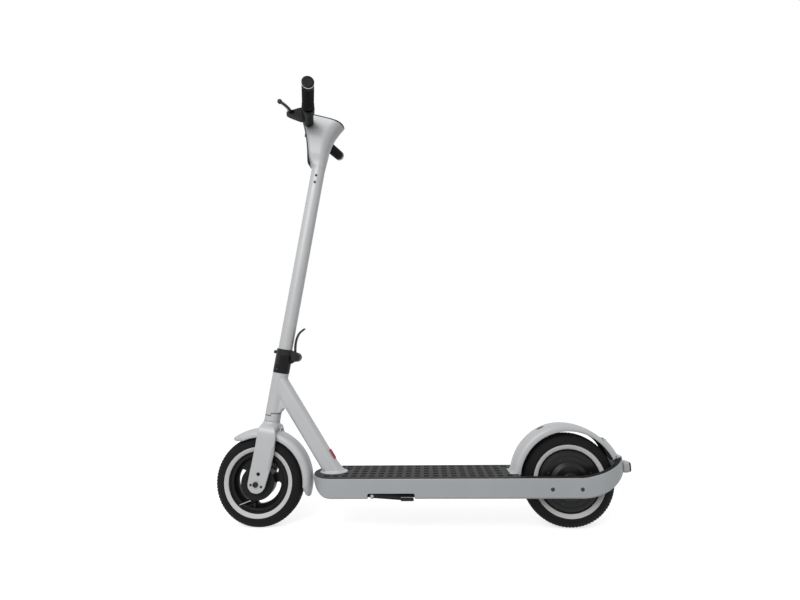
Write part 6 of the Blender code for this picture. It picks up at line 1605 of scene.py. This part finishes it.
back_wall = -DECK_HALF + POCKET_DEPTH
# A black sheet on the pocket's back wall is painted shade in the recess.
pocket_shade = piece("pocket_lining", prism(pocket, back_wall - 0.0007, back_wall - 0.0002), TO_DECK)
cut(pocket_shade, block((-1, -1, -0.1), (1, 1, DECK_LOW + 0.0006)))
dress(pocket_shade, "frame", "black_plastic", black_plastic)
for node, name, width, body, slot, look in (
        ("kickstand_bracket", "stand_block", 0.0006, "frame", "black_paint", black_paint),
        ("kickstand_arm", "stand_arm", 0.0010, "kickstand", "black_paint", rim_black),
        ("kickstand_foot", "stand_foot", 0.0012, "kickstand", "black_rubber", trim_rubber),
        ("kickstand_bolt", "stand_bolt", 0.0006, "kickstand", "steel", cast_metal)):
    dress(copy_of(node, name, width), body, slot, look, node)


# Floor and light. A pale floor that reads white where nothing shades it, an even white surround, and one
# large soft lamp above and behind the camera, towards the front wheel.

for mould in moulds:
    bpy.data.objects.remove(mould)

SKY = 0.46
LAMP_WATTS = 34.0
LAMP_SIZE = 1.6
LAMP_PLACE = Vector((-0.70, -2.00, 1.90))
LAMP_AIM = Vector((-0.20, 0.0, 0.65))
FLOOR_ALBEDO = 0.30
SHADOW_SHARE = 0.75
WHITE_LEVEL = 1.03


def seen_directly(tree):
    """One where a camera, mirror or glass ray looks, and zero for light that falls on things."""
    path = tree.nodes.new("ShaderNodeLightPath")
    both = maths(tree, "ADD", path.outputs["Is Camera Ray"], path.outputs["Is Glossy Ray"])
    return maths(tree, "MINIMUM", maths(tree, "ADD", both, path.outputs["Is Transmission Ray"]), 1.0)


world = bpy.data.worlds.new("white_surround")
world.use_nodes = True
bpy.context.scene.world = world
sky = world.node_tree.nodes["Background"]
sky.inputs["Color"].default_value = (1, 1, 1, 1)
level = remap(world.node_tree, seen_directly(world.node_tree), 0.0, 1.0, SKY, 1.0)
world.node_tree.links.new(level, sky.inputs["Strength"])

floor_look = bpy.data.materials.new("white_floor")
floor_look.use_nodes = True
tree = floor_look.node_tree
tree.nodes.remove(tree.nodes["Principled BSDF"])
direct = seen_directly(tree)
albedo = remap(tree, direct, 0.0, 1.0, FLOOR_ALBEDO, SHADOW_SHARE)
matt = add_node(tree, "ShaderNodeBsdfDiffuse", {"Color": albedo})
lift = maths(tree, "MULTIPLY", direct, WHITE_LEVEL - SHADOW_SHARE * SKY)
glow = add_node(tree, "ShaderNodeEmission", {"Color": (1, 1, 1, 1), "Strength": lift})
total = add_node(tree, "ShaderNodeAddShader", {0: matt.outputs[0], 1: glow.outputs[0]})
tree.links.new(total.outputs[0], tree.nodes["Material Output"].inputs["Surface"])
ground = piece("floor", block((-20, -20, -0.05), (20, 20, 0.0)))
ground.data.materials.append(floor_look)

lamp = bpy.data.lights.new("soft_box", "AREA")
lamp.shape = "SQUARE"
lamp.size = LAMP_SIZE
lamp.energy = LAMP_WATTS
lamp_object = bpy.data.objects.new("soft_box", lamp)
lamp_object.rotation_mode = "QUATERNION"
lamp_object.rotation_quaternion = (LAMP_PLACE - LAMP_AIM).to_track_quat("Z", "Y")
lamp_object.location = LAMP_PLACE
lamp_object.visible_camera = False
bpy.context.scene.collection.objects.link(lamp_object)


# Camera. It stands to the scooter's left at the height of the fold joint, looks slightly up, leans a
# degree to one side and frames the scooter whole.

CAMERA_PLACE = Vector((0.0207, -1.366, 0.486))
LENS = 20.7
yaw = math.radians(-2.87)
pitch = math.radians(6.62)
roll = math.radians(0.98)
ahead = Vector((math.sin(yaw) * math.cos(pitch), math.cos(yaw) * math.cos(pitch), math.sin(pitch)))
level_right = Vector((math.cos(yaw), -math.sin(yaw), 0))
level_down = ahead.cross(level_right)
right = level_right * math.cos(roll) + level_down * math.sin(roll)
down = level_down * math.cos(roll) - level_right * math.sin(roll)
camera_data = bpy.data.cameras.new("camera")
camera_data.sensor_width = 36.0
camera_data.lens = LENS
camera = bpy.data.objects.new("camera", camera_data)
view = Matrix((right, -down, -ahead)).transposed().to_4x4()
view.translation = CAMERA_PLACE
camera.matrix_world = view
bpy.context.scene.collection.objects.link(camera)
bpy.context.scene.camera = camera
bpy.context.scene.view_settings.view_transform = "Standard"
